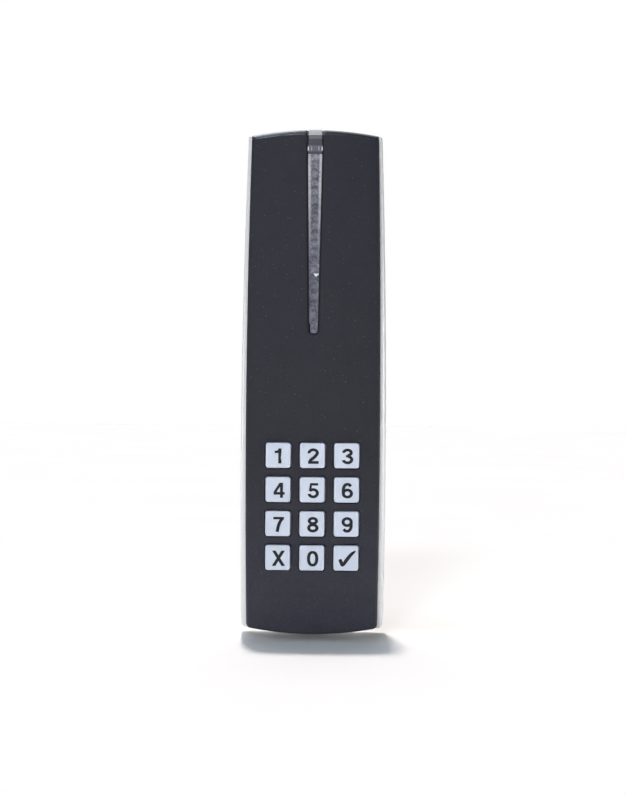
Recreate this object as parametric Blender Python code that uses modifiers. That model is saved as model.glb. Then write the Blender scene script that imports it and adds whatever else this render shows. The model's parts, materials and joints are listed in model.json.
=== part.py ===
"""Slim wall-mounted card reader with a twelve-key keypad.

Frame: +X to the right as seen by the user, +Y into the wall, +Z up.
The origin is the centre of the wall plate's back face.
Shapes are worked out in panel space, in millimetres: x across, y up the
panel, z the depth from the wall towards the user.
"""
import math

import bpy
import bmesh
from mathutils import Matrix, Vector

MM = 0.001

# ---------------------------------------------------------------- dimensions
HEIGHT = 150.0            # end to end, on the centre line
DEPTH_MAX = 21.0          # front face above the wall at its highest
DEPTH_APEX = -20.0        # height at which the front is highest
DEPTH_TOP = 12.0          # front face above the wall at the top end
CROWN = 1.0               # fall of the front from the centre line to the edge
COVER_HALF_W = 19.70      # widest half width of the front cover
COVER_W_APEX = -10.5
COVER_BARREL = 9.7e-5
HOUSING_HALF_W = 22.16    # widest half width of the housing at the wall
HOUSING_W_APEX = -24.6
HOUSING_BARREL = 1.717e-4
DRAFT = 0.053             # lean of the housing's sides
SHOULDER = 1.2            # depth of the slope from the housing's sides to its rim
END_ARC = 1.7 / 19.0 ** 2  # curve of the two ends
HOUSING_ARC = 1.3 / 19.0 ** 2  # the housing's ends are a little flatter
CORNER_TOP = 0.5
CORNER_BOTTOM = 1.5
FRONT_FILLET = 0.8

WALL = 1.8                # side walls
FRONT_WALL = 2.0          # front of the cover
COVER_SKIRT = 3.2         # cover side, from the front face to its rim
SEAM = 0.6                # between the cover's rim and the housing's rim
GAP = 0.3

HOUSING_RIM = 0.4         # housing's back rim stands off the wall
FLOOR_BACK = 2.6
FLOOR_FRONT = 4.4
PLATE_THICK = 2.0

BOARD_BACK = 9.0
BOARD_FRONT = 10.6
BOARD_HALF_W = 16.5
BOARD_TOP = 56.0
BOARD_BOTTOM = -64.0

KEY_PITCH = 10.0
KEY_SIZE = 7.3
KEY_RADIUS = 0.9
KEY_ROW_TOP = -22.1
KEY_PROUD = 1.2
KEY_TRAVEL = 1.0
KEY_OPENING = KEY_SIZE + 2 * GAP
KEY_FLANGE = 8.8
KEY_STEM = 5.2
KEY_STEM_END = 12.5

PIPE_BOTTOM = 13.65       # lower end of the light pipe
PIPE_HALF_LOW = 1.26      # half width at the lower end
PIPE_TAPER = 0.0166       # growth of the half width per mm of height
PIPE_PROUD = 0.1
PIPE_DEPTH = 3.0
PIPE_LIP = 10.0           # depth of the lip that turns over the top edge
PIPE_GAP = 0.42           # between the pipe and its slot
PIPE_FLANGE = 1.2         # how far the flange reaches behind the cover

CASE_SCREWS = [(-14.0, 66.0), (14.0, 66.0), (-14.0, -68.0), (14.0, -68.0)]
BOARD_SCREWS = [(-12.5, 50.0), (12.5, 50.0), (-12.5, -62.0), (12.5, -62.0)]
CABLE_Y = 25.0            # height of the cable inlet
WALL_SCREWS = [41.65, -41.65]  # spacing of a single-gang wall box
LOCK_DEPTH = 7.0          # depth of the lock screw's axis

HALF = HEIGHT / 2.0
DEPTH_CURVE = (DEPTH_MAX - DEPTH_TOP) / (HALF - DEPTH_APEX) ** 2

COLOURS = {
    "charcoal": ((0.037, 0.039, 0.050), 0.55, 0.0),
    "silver": ((0.62, 0.61, 0.62), 0.42, 0.0),
    "key": ((0.56, 0.63, 0.75), 0.40, 0.0),
    "pipe": ((0.55, 0.57, 0.62), 0.25, 0.0),
    "web": ((0.60, 0.64, 0.70), 0.55, 0.0),
    "carbon": ((0.02, 0.02, 0.02), 0.70, 0.0),
    "board": ((0.02, 0.16, 0.07), 0.45, 0.0),
    "copper": ((0.72, 0.34, 0.16), 0.35, 1.0),
    "led": ((0.85, 0.84, 0.70), 0.30, 0.0),
    "chip": ((0.02, 0.02, 0.022), 0.50, 0.0),
    "can": ((0.70, 0.70, 0.72), 0.30, 1.0),
    "steel": ((0.55, 0.55, 0.56), 0.32, 1.0),
    "rubber": ((0.03, 0.03, 0.03), 0.75, 0.0),
    "plate": ((0.10, 0.10, 0.105), 0.50, 0.0),
    "white": ((0.80, 0.79, 0.74), 0.45, 0.0),
}


# ------------------------------------------------------------ form functions
def front_depth(y):
    return DEPTH_MAX - DEPTH_CURVE * (y - DEPTH_APEX) ** 2


def cover_half_w(y):
    return COVER_HALF_W - COVER_BARREL * (y - COVER_W_APEX) ** 2


def housing_half_w(y):
    return HOUSING_HALF_W - HOUSING_BARREL * (y - HOUSING_W_APEX) ** 2


def crown(x, y):
    return CROWN * (x / cover_half_w(y)) ** 2


def pipe_half_w(y):
    return PIPE_HALF_LOW + PIPE_TAPER * (min(y, 66.0) - 16.0)


# ------------------------------------------------------------------- helpers
for old in list(bpy.data.objects):
    bpy.data.objects.remove(old, do_unlink=True)
parts = bpy.data.collections.new("rfid_card_reader")
cutters = bpy.data.collections.new("cutters")
bpy.context.scene.collection.children.link(parts)
bpy.context.scene.collection.children.link(cutters)

TO_WORLD = Matrix.Rotation(math.pi / 2, 4, "X") @ Matrix.Scale(MM, 4)


def world(x, y, depth):
    return Vector((x * MM, -depth * MM, y * MM))


def dress(ob, colour):
    rgb, rough, metal = COLOURS[colour]
    mat = bpy.data.materials.new(ob.name + "_finish")
    mat.use_nodes = True
    shader = mat.node_tree.nodes["Principled BSDF"]
    shader.inputs["Base Color"].default_value = (*rgb, 1.0)
    shader.inputs["Roughness"].default_value = rough
    shader.inputs["Metallic"].default_value = metal
    ob.data.materials.append(mat)


def solid(bm, name, colour=None, origin=(0.0, 0.0, 0.0)):
    """Turn a panel-space bmesh into an object; without a colour, a cutter."""
    bmesh.ops.recalc_face_normals(bm, faces=bm.faces[:])
    bm.transform(TO_WORLD @ Matrix.Translation(-Vector(origin)))
    me = bpy.data.meshes.new(name)
    bm.to_mesh(me)
    bm.free()
    ob = bpy.data.objects.new(name, me)
    ob.location = world(*origin)
    if colour is None:
        cutters.objects.link(ob)
        ob.hide_render = True
        ob.display_type = "WIRE"
    else:
        me.shade_smooth()
        me.set_sharp_from_angle(angle=math.radians(32))
        parts.objects.link(ob)
        dress(ob, colour)
    return ob


def boolean(ob, tool, operation="DIFFERENCE"):
    mod = ob.modifiers.new(tool.name, "BOOLEAN")
    mod.operation = operation
    mod.object = tool
    mod.solver = "EXACT"


def panel_block(nx, ny, width_f, end_f, depth_f, width_b, end_b, depth_b,
                arc=END_ARC):
    """A grid on the panel's outline, extruded from a back to a front surface.

    width_* and depth_* are functions of height and of (x, height); end_* is
    half the height of that surface.
    """
    bm = bmesh.new()
    bmesh.ops.create_grid(bm, x_segments=nx, y_segments=ny, size=1.0)
    ext = bmesh.ops.extrude_face_region(bm, geom=bm.faces[:])
    moved = [e for e in ext["geom"] if isinstance(e, bmesh.types.BMVert)]
    bmesh.ops.translate(bm, verts=moved, vec=(0, 0, 1))
    for v in bm.verts:
        a, b, side = v.co
        width, end, depth = ((width_f, end_f, depth_f) if side > 0.5
                             else (width_b, end_b, depth_b))
        x = a * width(b * end)
        y = b * (end - arc * x * x)
        x = a * width(y)
        v.co = (x, y, depth(x, y))
    return bm


def round_corners(bm, lean=0.5):
    """Round the four corner edges that run from back to front."""
    bm.normal_update()
    corner = {1: [], -1: []}
    for e in bm.edges:
        a, b = e.verts
        if abs(a.co.z - b.co.z) < 0.2 or len(e.link_faces) != 2:
            continue
        n1, n2 = (f.normal for f in e.link_faces)
        if n1.dot(n2) < 0.4 and abs(n1.z) < lean and abs(n2.z) < lean:
            corner[1 if a.co.y > 0 else -1].append(e)
    bmesh.ops.bevel(bm, geom=corner[1], offset=CORNER_TOP, segments=2,
                    profile=0.5, affect="EDGES")
    bottom = [e for e in corner[-1] if e.is_valid]
    bmesh.ops.bevel(bm, geom=bottom, offset=CORNER_BOTTOM, segments=3,
                    profile=0.5, affect="EDGES")


def round_front(bm, width, segments):
    """Round the edge between the front surface and the sides."""
    bm.normal_update()
    rim = []
    for e in bm.edges:
        if len(e.link_faces) != 2:
            continue
        n1, n2 = (f.normal for f in e.link_faces)
        if max(n1.z, n2.z) > 0.8 and min(n1.z, n2.z) < 0.5:
            rim.append(e)
    bmesh.ops.bevel(bm, geom=rim, offset=width, segments=segments,
                    profile=0.5, affect="EDGES")


def tidy(bm):
    """Merge flat areas and split what is not flat."""
    bmesh.ops.dissolve_limit(bm, angle_limit=0.0008, verts=bm.verts[:],
                             edges=bm.edges[:])
    bmesh.ops.triangulate(bm, faces=bm.faces[:])


def box(bm, x0, x1, y0, y1, d0, d1):
    made = bmesh.ops.create_cube(bm, size=1.0)["verts"]
    for v in made:
        v.co = ((x0 + x1) / 2 + v.co.x * (x1 - x0),
                (y0 + y1) / 2 + v.co.y * (y1 - y0),
                (d0 + d1) / 2 + v.co.z * (d1 - d0))
    return made


def rod(bm, x, y, d0, d1, r, segments=16):
    at = Matrix.Translation((x, y, (d0 + d1) / 2))
    return bmesh.ops.create_cone(bm, cap_ends=True, segments=segments,
                                 radius1=r, radius2=r, depth=d1 - d0,
                                 matrix=at)["verts"]


def stacked(levels, radius, segments=2):
    """A rounded rectangle extruded through levels of (width, height, depth)."""
    bm = bmesh.new()
    bmesh.ops.create_grid(bm, x_segments=1, y_segments=1, size=0.5)
    bmesh.ops.bevel(bm, geom=bm.verts[:], offset=radius / levels[0][0],
                    segments=segments, profile=0.5, affect="VERTICES")
    cap = bm.faces[:]
    for k in range(1, len(levels)):
        ext = bmesh.ops.extrude_face_region(bm, geom=cap)["geom"]
        if k > 1:
            bmesh.ops.delete(bm, geom=cap, context="FACES_ONLY")
        cap = [g for g in ext if isinstance(g, bmesh.types.BMFace)]
        up = [g for g in ext if isinstance(g, bmesh.types.BMVert)]
        bmesh.ops.translate(bm, verts=up, vec=(0, 0, 1))
    for v in bm.verts:
        w, h, d = levels[int(round(v.co.z))]
        v.co = (v.co.x * w, v.co.y * h, d)
    return bm


def rounded_rect(cx, cy, w, h, r, n=4):
    pts = []
    for sx, sy, a0 in ((1, 1, 0), (-1, 1, 90), (-1, -1, 180), (1, -1, 270)):
        for k in range(n + 1):
            a = math.radians(a0 + 90.0 * k / n)
            pts.append((cx + sx * (w / 2 - r) + r * math.cos(a),
                        cy + sy * (h / 2 - r) + r * math.sin(a)))
    return pts


def flat_sheet(loops, d0, d1):
    """A filled outline with holes, as a curve turned into a closed mesh."""
    cu = bpy.data.curves.new("sheet", "CURVE")
    cu.dimensions = "2D"
    cu.fill_mode = "BOTH"
    cu.extrude = (d1 - d0) / 2
    for loop in loops:
        sp = cu.splines.new("POLY")
        sp.points.add(len(loop) - 1)
        for p, (x, y) in zip(sp.points, loop):
            p.co = (x, y, 0.0, 1.0)
        sp.use_cyclic_u = True
    ob = bpy.data.objects.new("sheet", cu)
    parts.objects.link(ob)
    graph = bpy.context.evaluated_depsgraph_get()
    me = bpy.data.meshes.new_from_object(ob.evaluated_get(graph))
    bm = bmesh.new()
    bm.from_mesh(me)
    bpy.data.objects.remove(ob, do_unlink=True)
    bmesh.ops.remove_doubles(bm, verts=bm.verts[:], dist=0.001)
    bmesh.ops.translate(bm, verts=bm.verts[:], vec=(0, 0, (d0 + d1) / 2))
    return bm


def turned(name, profile, colour, x, y, steps, upright=False, base=0.0):
    """A profile of (radius, position along the axis), turned by Screw."""
    bm = bmesh.new()
    ring = [bm.verts.new((r * MM, 0.0, (p - base) * MM)) for r, p in profile]
    for a, b in zip(ring, ring[1:]):
        bm.edges.new((a, b))
    if profile[0][0] > 1e-6:
        bm.edges.new((ring[-1], ring[0]))
    me = bpy.data.meshes.new(name)
    bm.to_mesh(me)
    bm.free()
    ob = bpy.data.objects.new(name, me)
    parts.objects.link(ob)
    if upright:
        ob.location = world(x, base, y)
    else:
        ob.location = world(x, y, base)
        ob.rotation_euler = (math.pi / 2, 0.0, 0.0)
    mod = ob.modifiers.new("turn", "SCREW")
    mod.steps = steps
    mod.render_steps = steps
    mod.use_merge_vertices = True
    mod.merge_threshold = 1e-6
    mod.use_smooth_shade = True
    dress(ob, colour)
    return ob


# --------------------------------------------------------------- front cover
NX, NY = 6, 18


def cover_front(x, y):
    return front_depth(y) - crown(x, y)


def cover_rim(x, y):
    return front_depth(y) - COVER_SKIRT


bm = panel_block(NX, NY, cover_half_w, HALF, cover_front,
                 cover_half_w, HALF, cover_rim)
round_corners(bm)
round_front(bm, FRONT_FILLET, 2)
tidy(bm)
front_cover = solid(bm, "front_cover", "charcoal")

bm = panel_block(NX, NY,
                 lambda y: cover_half_w(y) - WALL, HALF - WALL,
                 lambda x, y: cover_front(x, y) - FRONT_WALL,
                 lambda y: cover_half_w(y) - WALL, HALF - WALL,
                 lambda x, y: -5.0)
tidy(bm)
boolean(front_cover, solid(bm, "cover_hollow"))

bm = bmesh.new()
for sx, sy in CASE_SCREWS:
    rod(bm, sx, sy, FLOOR_FRONT + 2.3,
        cover_front(sx, sy) - FRONT_WALL + 0.7, 2.5, 12)
boolean(front_cover, solid(bm, "cover_bosses"), "UNION")

key_rows = [KEY_ROW_TOP - KEY_PITCH * r for r in range(4)]
key_names = [["1", "2", "3"], ["4", "5", "6"], ["7", "8", "9"],
             ["cancel", "0", "enter"]]
keys = [(key_names[r][c], (c - 1) * KEY_PITCH, key_rows[r])
        for r in range(4) for c in range(3)]

bm = bmesh.new()
for name, kx, ky in keys:
    bar = stacked([(KEY_OPENING, KEY_OPENING, 14.0),
                   (KEY_OPENING, KEY_OPENING, 26.0)], 1.2)
    bmesh.ops.translate(bar, verts=bar.verts[:], vec=(kx, ky, 0))
    me = bpy.data.meshes.new("bar")
    bar.to_mesh(me)
    bar.free()
    bm.from_mesh(me)
    bpy.data.meshes.remove(me)
for sx, sy in CASE_SCREWS:
    rod(bm, sx, sy, 5.0, 10.5 if sy > 0 else 13.0, 1.3, 12)
boolean(front_cover, solid(bm, "cover_openings"))


# The slot for the light pipe runs out through the top edge.
def pipe_strip(ny, low, high, side, depth_f, depth_b):
    bm = bmesh.new()
    bmesh.ops.create_grid(bm, x_segments=2, y_segments=ny, size=1.0)
    ext = bmesh.ops.extrude_face_region(bm, geom=bm.faces[:])
    moved = [e for e in ext["geom"] if isinstance(e, bmesh.types.BMVert)]
    bmesh.ops.translate(bm, verts=moved, vec=(0, 0, 1))
    for v in bm.verts:
        a, b, face = v.co
        y = low + (high - low) * (b + 1) / 2
        x = a * (pipe_half_w(y) + side)
        v.co = (x, y, depth_f(x, y) if face > 0.5 else depth_b(x, y))
    return bm


def round_low_end(bm, radius):
    bm.normal_update()
    low = min(v.co.y for v in bm.verts)
    reach = max(v.co.x for v in bm.verts if v.co.y < low + 0.01)
    ends = [e for e in bm.edges
            if all(v.co.y < low + 0.01 and abs(v.co.x) > reach - 0.01
                   for v in e.verts)]
    bmesh.ops.bevel(bm, geom=ends, offset=radius, segments=3, profile=0.5,
                    affect="EDGES")


bm = pipe_strip(8, PIPE_BOTTOM - PIPE_GAP, 72.6, PIPE_GAP,
                lambda x, y: 30.0, lambda x, y: 2.0)
round_low_end(bm, 1.1)
tidy(bm)
boolean(front_cover, solid(bm, "pipe_slot"))
bm = pipe_strip(1, 72.0, 80.0, PIPE_GAP,
                lambda x, y: 30.0, lambda x, y: PIPE_LIP - GAP)
boolean(front_cover, solid(bm, "pipe_slot_end"))


# ---------------------------------------------------------------- light pipe
def pipe_back(x, y):
    return PIPE_LIP if y > 72.3 else front_depth(y) - PIPE_DEPTH


bm = pipe_strip(14, PIPE_BOTTOM, HALF, 0.0,
                lambda x, y: front_depth(y) - crown(x, y) + PIPE_PROUD,
                pipe_back)
for v in bm.verts:
    # one row of the strip stands where the lip begins
    if 68.0 < v.co.y < 72.0:
        y = 72.4
        deep = v.co.z < front_depth(v.co.y) - 1.0
        v.co.y = y
        v.co.z = pipe_back(0.0, y) if deep else front_depth(y) + PIPE_PROUD
    elif v.co.y > 74.9:
        v.co.y = HALF - END_ARC * v.co.x ** 2
round_low_end(bm, 0.9)
round_front(bm, 0.35, 1)
tidy(bm)
light_pipe = solid(bm, "light_pipe", "pipe")
bm = pipe_strip(8, PIPE_BOTTOM - PIPE_FLANGE, 71.8, PIPE_FLANGE,
                lambda x, y: front_depth(y) - FRONT_WALL - GAP,
                lambda x, y: front_depth(y) - PIPE_DEPTH - 0.2)
tidy(bm)
boolean(light_pipe, solid(bm, "pipe_flange"), "UNION")


# -------------------------------------------------------------- rear housing
def housing_rim(x, y):
    return front_depth(y) - COVER_SKIRT - SEAM


def shoulder_depth(y):
    return housing_rim(0, y) - SHOULDER


def housing_w_at(y, depth):
    """Outer half width of the housing below its shoulder."""
    return housing_half_w(y) - DRAFT * (depth - HOUSING_RIM)


def hollow_w(y, depth):
    """Half width inside the housing, from its floor to its rim and beyond."""
    low = housing_w_at(y, FLOOR_FRONT) - WALL
    t = (depth - FLOOR_FRONT) / (housing_rim(0, y) - FLOOR_FRONT)
    return low + (cover_half_w(y) - WALL - low) * t


def add_shoulder(bm):
    """Break the sides where the slope up to the rim begins."""
    sides = [e for e in bm.edges
             if abs(e.verts[0].co.z - e.verts[1].co.z) > 4.0]
    fronts = []
    for e in sides:
        fronts.append((((e.verts[0].co + e.verts[1].co) / 2).copy(),
                       max(e.verts, key=lambda v: v.co.z).co.copy()))
    made = bmesh.ops.subdivide_edges(bm, edges=sides, cuts=1)["geom_inner"]
    for v in made:
        if not isinstance(v, bmesh.types.BMVert):
            continue
        f = min(fronts, key=lambda pair: (pair[0] - v.co).length)[1]
        a = f.x / cover_half_w(f.y)
        at_end = abs(abs(f.y) - HALF + HOUSING_ARC * f.x ** 2) < 1e-3
        y = f.y
        for _ in range(4):
            x = a * housing_w_at(y, shoulder_depth(y))
            if at_end:
                y = math.copysign(HALF - HOUSING_ARC * x * x, f.y)
        v.co = (x, y, shoulder_depth(y))


bm = panel_block(NX, NY, cover_half_w, HALF, housing_rim,
                 housing_half_w, HALF, lambda x, y: HOUSING_RIM, HOUSING_ARC)
add_shoulder(bm)
round_corners(bm, 0.9)
tidy(bm)
rear_housing = solid(bm, "rear_housing", "silver")

bm = panel_block(NX, NY,
                 lambda y: hollow_w(y, 24.0), HALF - WALL,
                 lambda x, y: 24.0,
                 lambda y: hollow_w(y, FLOOR_FRONT), HALF - WALL,
                 lambda x, y: FLOOR_FRONT)
tidy(bm)
boolean(rear_housing, solid(bm, "housing_hollow"))
bm = panel_block(NX, NY,
                 lambda y: housing_half_w(y) - WALL - 0.1, HALF - WALL,
                 lambda x, y: FLOOR_BACK,
                 lambda y: housing_half_w(y) - WALL - 0.1, HALF - WALL,
                 lambda x, y: -3.0)
tidy(bm)
boolean(rear_housing, solid(bm, "plate_recess"))

# Standoffs for the board, bosses for the case screws, block for the lock screw.
bm = bmesh.new()
for sx, sy in BOARD_SCREWS:
    rod(bm, sx, sy, FLOOR_FRONT - 0.4, BOARD_BACK - 0.1, 2.5, 12)
for sx, sy in CASE_SCREWS:
    rod(bm, sx, sy, FLOOR_FRONT - 0.4, FLOOR_FRONT + 2.0, 3.4, 16)
box(bm, -5.0, 5.0, -HALF + WALL - 0.5, -70.6, FLOOR_FRONT - 0.4, 10.0)
boolean(rear_housing, solid(bm, "housing_bosses"), "UNION")

bm = bmesh.new()
for sx, sy in CASE_SCREWS:
    rod(bm, sx, sy, 1.0, FLOOR_FRONT + 0.05, 2.5, 16)
rod(bm, 0.0, CABLE_Y, 1.0, 7.0, 4.7, 24)
for sx, sy in BOARD_SCREWS:
    rod(bm, sx, sy, 5.0, 12.0, 1.3, 12)
box(bm, -4.9, 4.9, -70.55, -68.0, 1.0, 8.0)
box(bm, -4.4, 4.4, 65.6, 70.4, 1.0, 8.0)
bmesh.ops.create_cone(
    bm, cap_ends=True, segments=16, radius1=2.5, radius2=2.5, depth=4.2,
    matrix=Matrix.Translation((0, -75.1, LOCK_DEPTH))
    @ Matrix.Rotation(math.pi / 2, 4, "X"))
boolean(rear_housing, solid(bm, "housing_openings"))

bm = bmesh.new()
for sx, sy in CASE_SCREWS:
    rod(bm, sx, sy, 1.0, 8.0, 1.3, 12)
bmesh.ops.create_cone(
    bm, cap_ends=True, segments=12, radius1=1.4, radius2=1.4, depth=8.0,
    matrix=Matrix.Translation((0, -73.0, LOCK_DEPTH))
    @ Matrix.Rotation(math.pi / 2, 4, "X"))
boolean(rear_housing, solid(bm, "housing_screw_holes"))

# -------------------------------------------------------------------- gasket
bm = panel_block(NX, NY,
                 lambda y: cover_half_w(y) - 0.4, HALF - 0.4,
                 lambda x, y: cover_rim(x, y) - 0.1,
                 lambda y: cover_half_w(y) - 0.4, HALF - 0.4,
                 lambda x, y: housing_rim(x, y) + 0.1)
round_corners(bm)
tidy(bm)
gasket = solid(bm, "gasket", "rubber")
bm = panel_block(NX, NY,
                 lambda y: cover_half_w(y) - 1.5, HALF - 1.5,
                 lambda x, y: 26.0,
                 lambda y: cover_half_w(y) - 1.5, HALF - 1.5,
                 lambda x, y: 0.0)
tidy(bm)
boolean(gasket, solid(bm, "gasket_inside"))

# ---------------------------------------------------------------- wall plate
PLATE_END = HALF - WALL - 0.4
outline = []
for k in range(NY + 1):
    y = -PLATE_END + 2 * PLATE_END * k / NY
    outline.append((housing_half_w(y) - WALL - 0.5, y))
corner_x = outline[-1][0]
outline[0] = (outline[0][0], -PLATE_END + END_ARC * outline[0][0] ** 2)
outline[-1] = (corner_x, PLATE_END - END_ARC * corner_x ** 2)
top = [(corner_x * (1 - k / 4), 0) for k in range(1, 5)]
outline += [(x, PLATE_END - END_ARC * x * x) for x, _ in top]
outline += [(-x, y) for x, y in reversed(outline[:-1])]
outline += [(x, -PLATE_END + END_ARC * x * x)
            for x in (-corner_x * 0.5, 0.0, corner_x * 0.5)]
bm = flat_sheet([outline,
                 rounded_rect(0, CABLE_Y, 13.4, 13.4, 6.69, 5)]
                + [rounded_rect(0, sy, 4.5, 4.5, 2.24, 3)
                   for sy in WALL_SCREWS], 0.0, PLATE_THICK)
wall_plate = solid(bm, "wall_plate", "plate")
bm = bmesh.new()
for sy in WALL_SCREWS:
    # countersink, so that a flat head sits flush with the plate's front
    bmesh.ops.create_cone(bm, cap_ends=True, segments=16, radius1=2.15,
                          radius2=3.95, depth=1.8,
                          matrix=Matrix.Translation((0, sy, 1.4)))
boolean(wall_plate, solid(bm, "plate_countersinks"))
bm = bmesh.new()
box(bm, -4.5, 4.5, -70.2, -68.4, 1.0, 9.5)
box(bm, -4.0, 4.0, 66.0, 67.6, 1.0, 6.2)
boolean(wall_plate, solid(bm, "plate_lugs"), "UNION")
bm = bmesh.new()
box(bm, -4.0, 4.0, 66.5, 70.0, FLOOR_FRONT + 0.3, 6.2)
boolean(wall_plate, solid(bm, "plate_hook"), "UNION")
bm = bmesh.new()
bmesh.ops.create_cone(
    bm, cap_ends=True, segments=12, radius1=1.3, radius2=1.3, depth=6.0,
    matrix=Matrix.Translation((0, -69.3, LOCK_DEPTH))
    @ Matrix.Rotation(math.pi / 2, 4, "X"))
boolean(wall_plate, solid(bm, "lock_thread"))

# -------------------------------------------------- keypad: mat, keys, pills
holes = [rounded_rect(kx, ky, KEY_STEM + 0.8, KEY_STEM + 0.8, 0.9, 2)
         for name, kx, ky in keys]
lights = [(sx * KEY_PITCH / 2, (key_rows[r] + key_rows[r + 1]) / 2)
          for r in range(3) for sx in (-1, 1)]
holes += [rounded_rect(lx, ly, 3.0, 2.4, 0.4, 1) for lx, ly in lights]
mat_mid = (key_rows[0] + key_rows[3]) / 2
bm = flat_sheet([rounded_rect(0, mat_mid, 31.0, 42.6, 2.0, 3)] + holes,
                BOARD_FRONT + GAP, BOARD_FRONT + 1.5)
solid(bm, "keypad_mat", "web")

for name, kx, ky in keys:
    face = cover_front(kx, ky)
    top = face + KEY_PROUD
    under = face - FRONT_WALL - 0.8
    bm = stacked([(KEY_STEM, KEY_STEM, KEY_STEM_END),
                  (KEY_STEM, KEY_STEM, under - 1.0),
                  (KEY_FLANGE, KEY_FLANGE, under - 1.0),
                  (KEY_FLANGE, KEY_FLANGE, under),
                  (KEY_SIZE, KEY_SIZE, under),
                  (KEY_SIZE, KEY_SIZE, top - 0.4),
                  (KEY_SIZE - 0.3, KEY_SIZE - 0.3, top - 0.1),
                  (KEY_SIZE - 0.9, KEY_SIZE - 0.9, top)],
                 KEY_RADIUS * KEY_STEM / KEY_SIZE)
    bmesh.ops.translate(bm, verts=bm.verts[:], vec=(kx, ky, 0))
    key = solid(bm, "key_" + name, "key", (kx, ky, KEY_STEM_END))
    bm = bmesh.new()
    rod(bm, kx, ky, KEY_STEM_END - 0.6, KEY_STEM_END - 0.1, 1.8, 12)
    pill = solid(bm, "contact_pill_" + name, "carbon", (kx, ky, KEY_STEM_END))
    pill.location = (0.0, 0.0, 0.0)
    pill.parent = key

# --------------------------------------------------------- board and its parts
board_mid = (BOARD_TOP + BOARD_BOTTOM) / 2
bm = flat_sheet([rounded_rect(0, board_mid, 2 * BOARD_HALF_W,
                              BOARD_TOP - BOARD_BOTTOM, 1.0, 2)]
                + [rounded_rect(sx, sy, 2.6, 2.6, 1.29, 3)
                   for sx, sy in BOARD_SCREWS], BOARD_BACK, BOARD_FRONT)
solid(bm, "main_board", "board")

bm = flat_sheet([rounded_rect(0, 19.0, 31.0, 54.0, 3.0, 3),
                 rounded_rect(0, 19.0, 27.6, 50.6, 1.6, 3)],
                BOARD_FRONT + 0.1, BOARD_FRONT + 0.9)
solid(bm, "antenna_coil", "copper")


def chip(name, colour, x, y, w, h, d0, d1, edge):
    bm = bmesh.new()
    box(bm, x - w / 2, x + w / 2, y - h / 2, y + h / 2, d0, d1)
    bmesh.ops.bevel(bm, geom=bm.edges[:], offset=edge, segments=1,
                    affect="EDGES")
    solid(bm, name, colour, (x, y, d0))


chip("status_led_upper", "led", 0, 41.0, 3.0, 2.8, 10.7, 11.9, 0.15)
chip("status_led_lower", "led", 0, 28.0, 3.0, 2.8, 10.7, 11.9, 0.15)
for k, (lx, ly) in enumerate(lights):
    chip("backlight_led_%d" % (k + 1), "led", lx, ly, 2.0, 1.25,
         10.7, 11.5, 0.1)
chip("microcontroller", "chip", 0, -34.0, 7.0, 7.0, 7.7, 8.9, 0.2)
chip("rf_chip", "chip", 9.0, 6.0, 5.0, 5.0, 7.9, 8.9, 0.15)
chip("regulator", "chip", -9.0, 12.0, 6.5, 3.5, 7.3, 8.9, 0.2)
chip("crystal", "can", 8.0, -34.0, 3.2, 2.5, 8.0, 8.9, 0.15)
chip("cable_connector", "white", 0, 42.0, 22.0, 6.0, 4.9, 8.9, 0.3)

turned("buzzer", [(0, 8.9), (6.0, 8.9), (6.0, 5.1), (5.7, 4.8), (1.0, 4.8),
                  (1.0, 5.6), (0, 5.6)], "chip", -7.0, -10.0, 20, base=4.8)
turned("capacitor", [(0, 8.9), (2.5, 8.9), (2.5, 5.1), (2.2, 4.8), (0, 4.8)],
       "can", 10.0, -12.0, 14, base=4.8)
turned("cable_grommet",
       [(3.5, 6.0), (5.7, 6.0), (6.0, 5.7), (6.0, 4.5), (4.4, 4.5), (4.4, 2.5),
        (6.0, 2.5), (6.0, 1.2), (5.7, 0.9), (3.5, 0.9)],
       "rubber", 0.0, CABLE_Y, 24, base=2.6)

# -------------------------------------------------------------------- screws
for k, (sx, sy) in enumerate(CASE_SCREWS):
    tip = 10.2 if sy > 0 else 12.7
    turned("case_screw_%d" % (k + 1),
           [(0, tip), (1.0, tip - 0.6), (1.0, 4.35), (2.2, 4.35), (2.2, 3.1),
            (1.9, 2.8), (0.9, 2.8), (0, 3.7)], "steel", sx, sy, 12, base=2.8)
for k, (sx, sy) in enumerate(BOARD_SCREWS):
    turned("board_screw_%d" % (k + 1),
           [(0, 11.2), (0.9, 12.0), (1.8, 12.0), (2.0, 11.7), (2.0, 10.7),
            (1.0, 10.7), (1.0, 5.8), (0, 5.3)], "steel", sx, sy, 12, base=5.3)
turned("lock_screw",
       [(0, -66.8), (1.0, -67.4), (1.0, -73.1), (2.2, -73.1), (2.2, -74.4),
        (1.9, -74.7), (0.9, -74.7), (0, -73.8)],
       "steel", 0.0, LOCK_DEPTH, 12, upright=True, base=-74.7)
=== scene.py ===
"""Looks of the slim wall reader: fine surfaces, finishes, floor, light and camera.

Panel space, used throughout: x across, y up the panel, d the depth from the
wall towards the user, all in millimetres.
"""

import json
import math

import bpy
import bmesh
import numpy as np
from mathutils import Matrix, Vector
from mathutils.geometry import delaunay_2d_cdt

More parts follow.
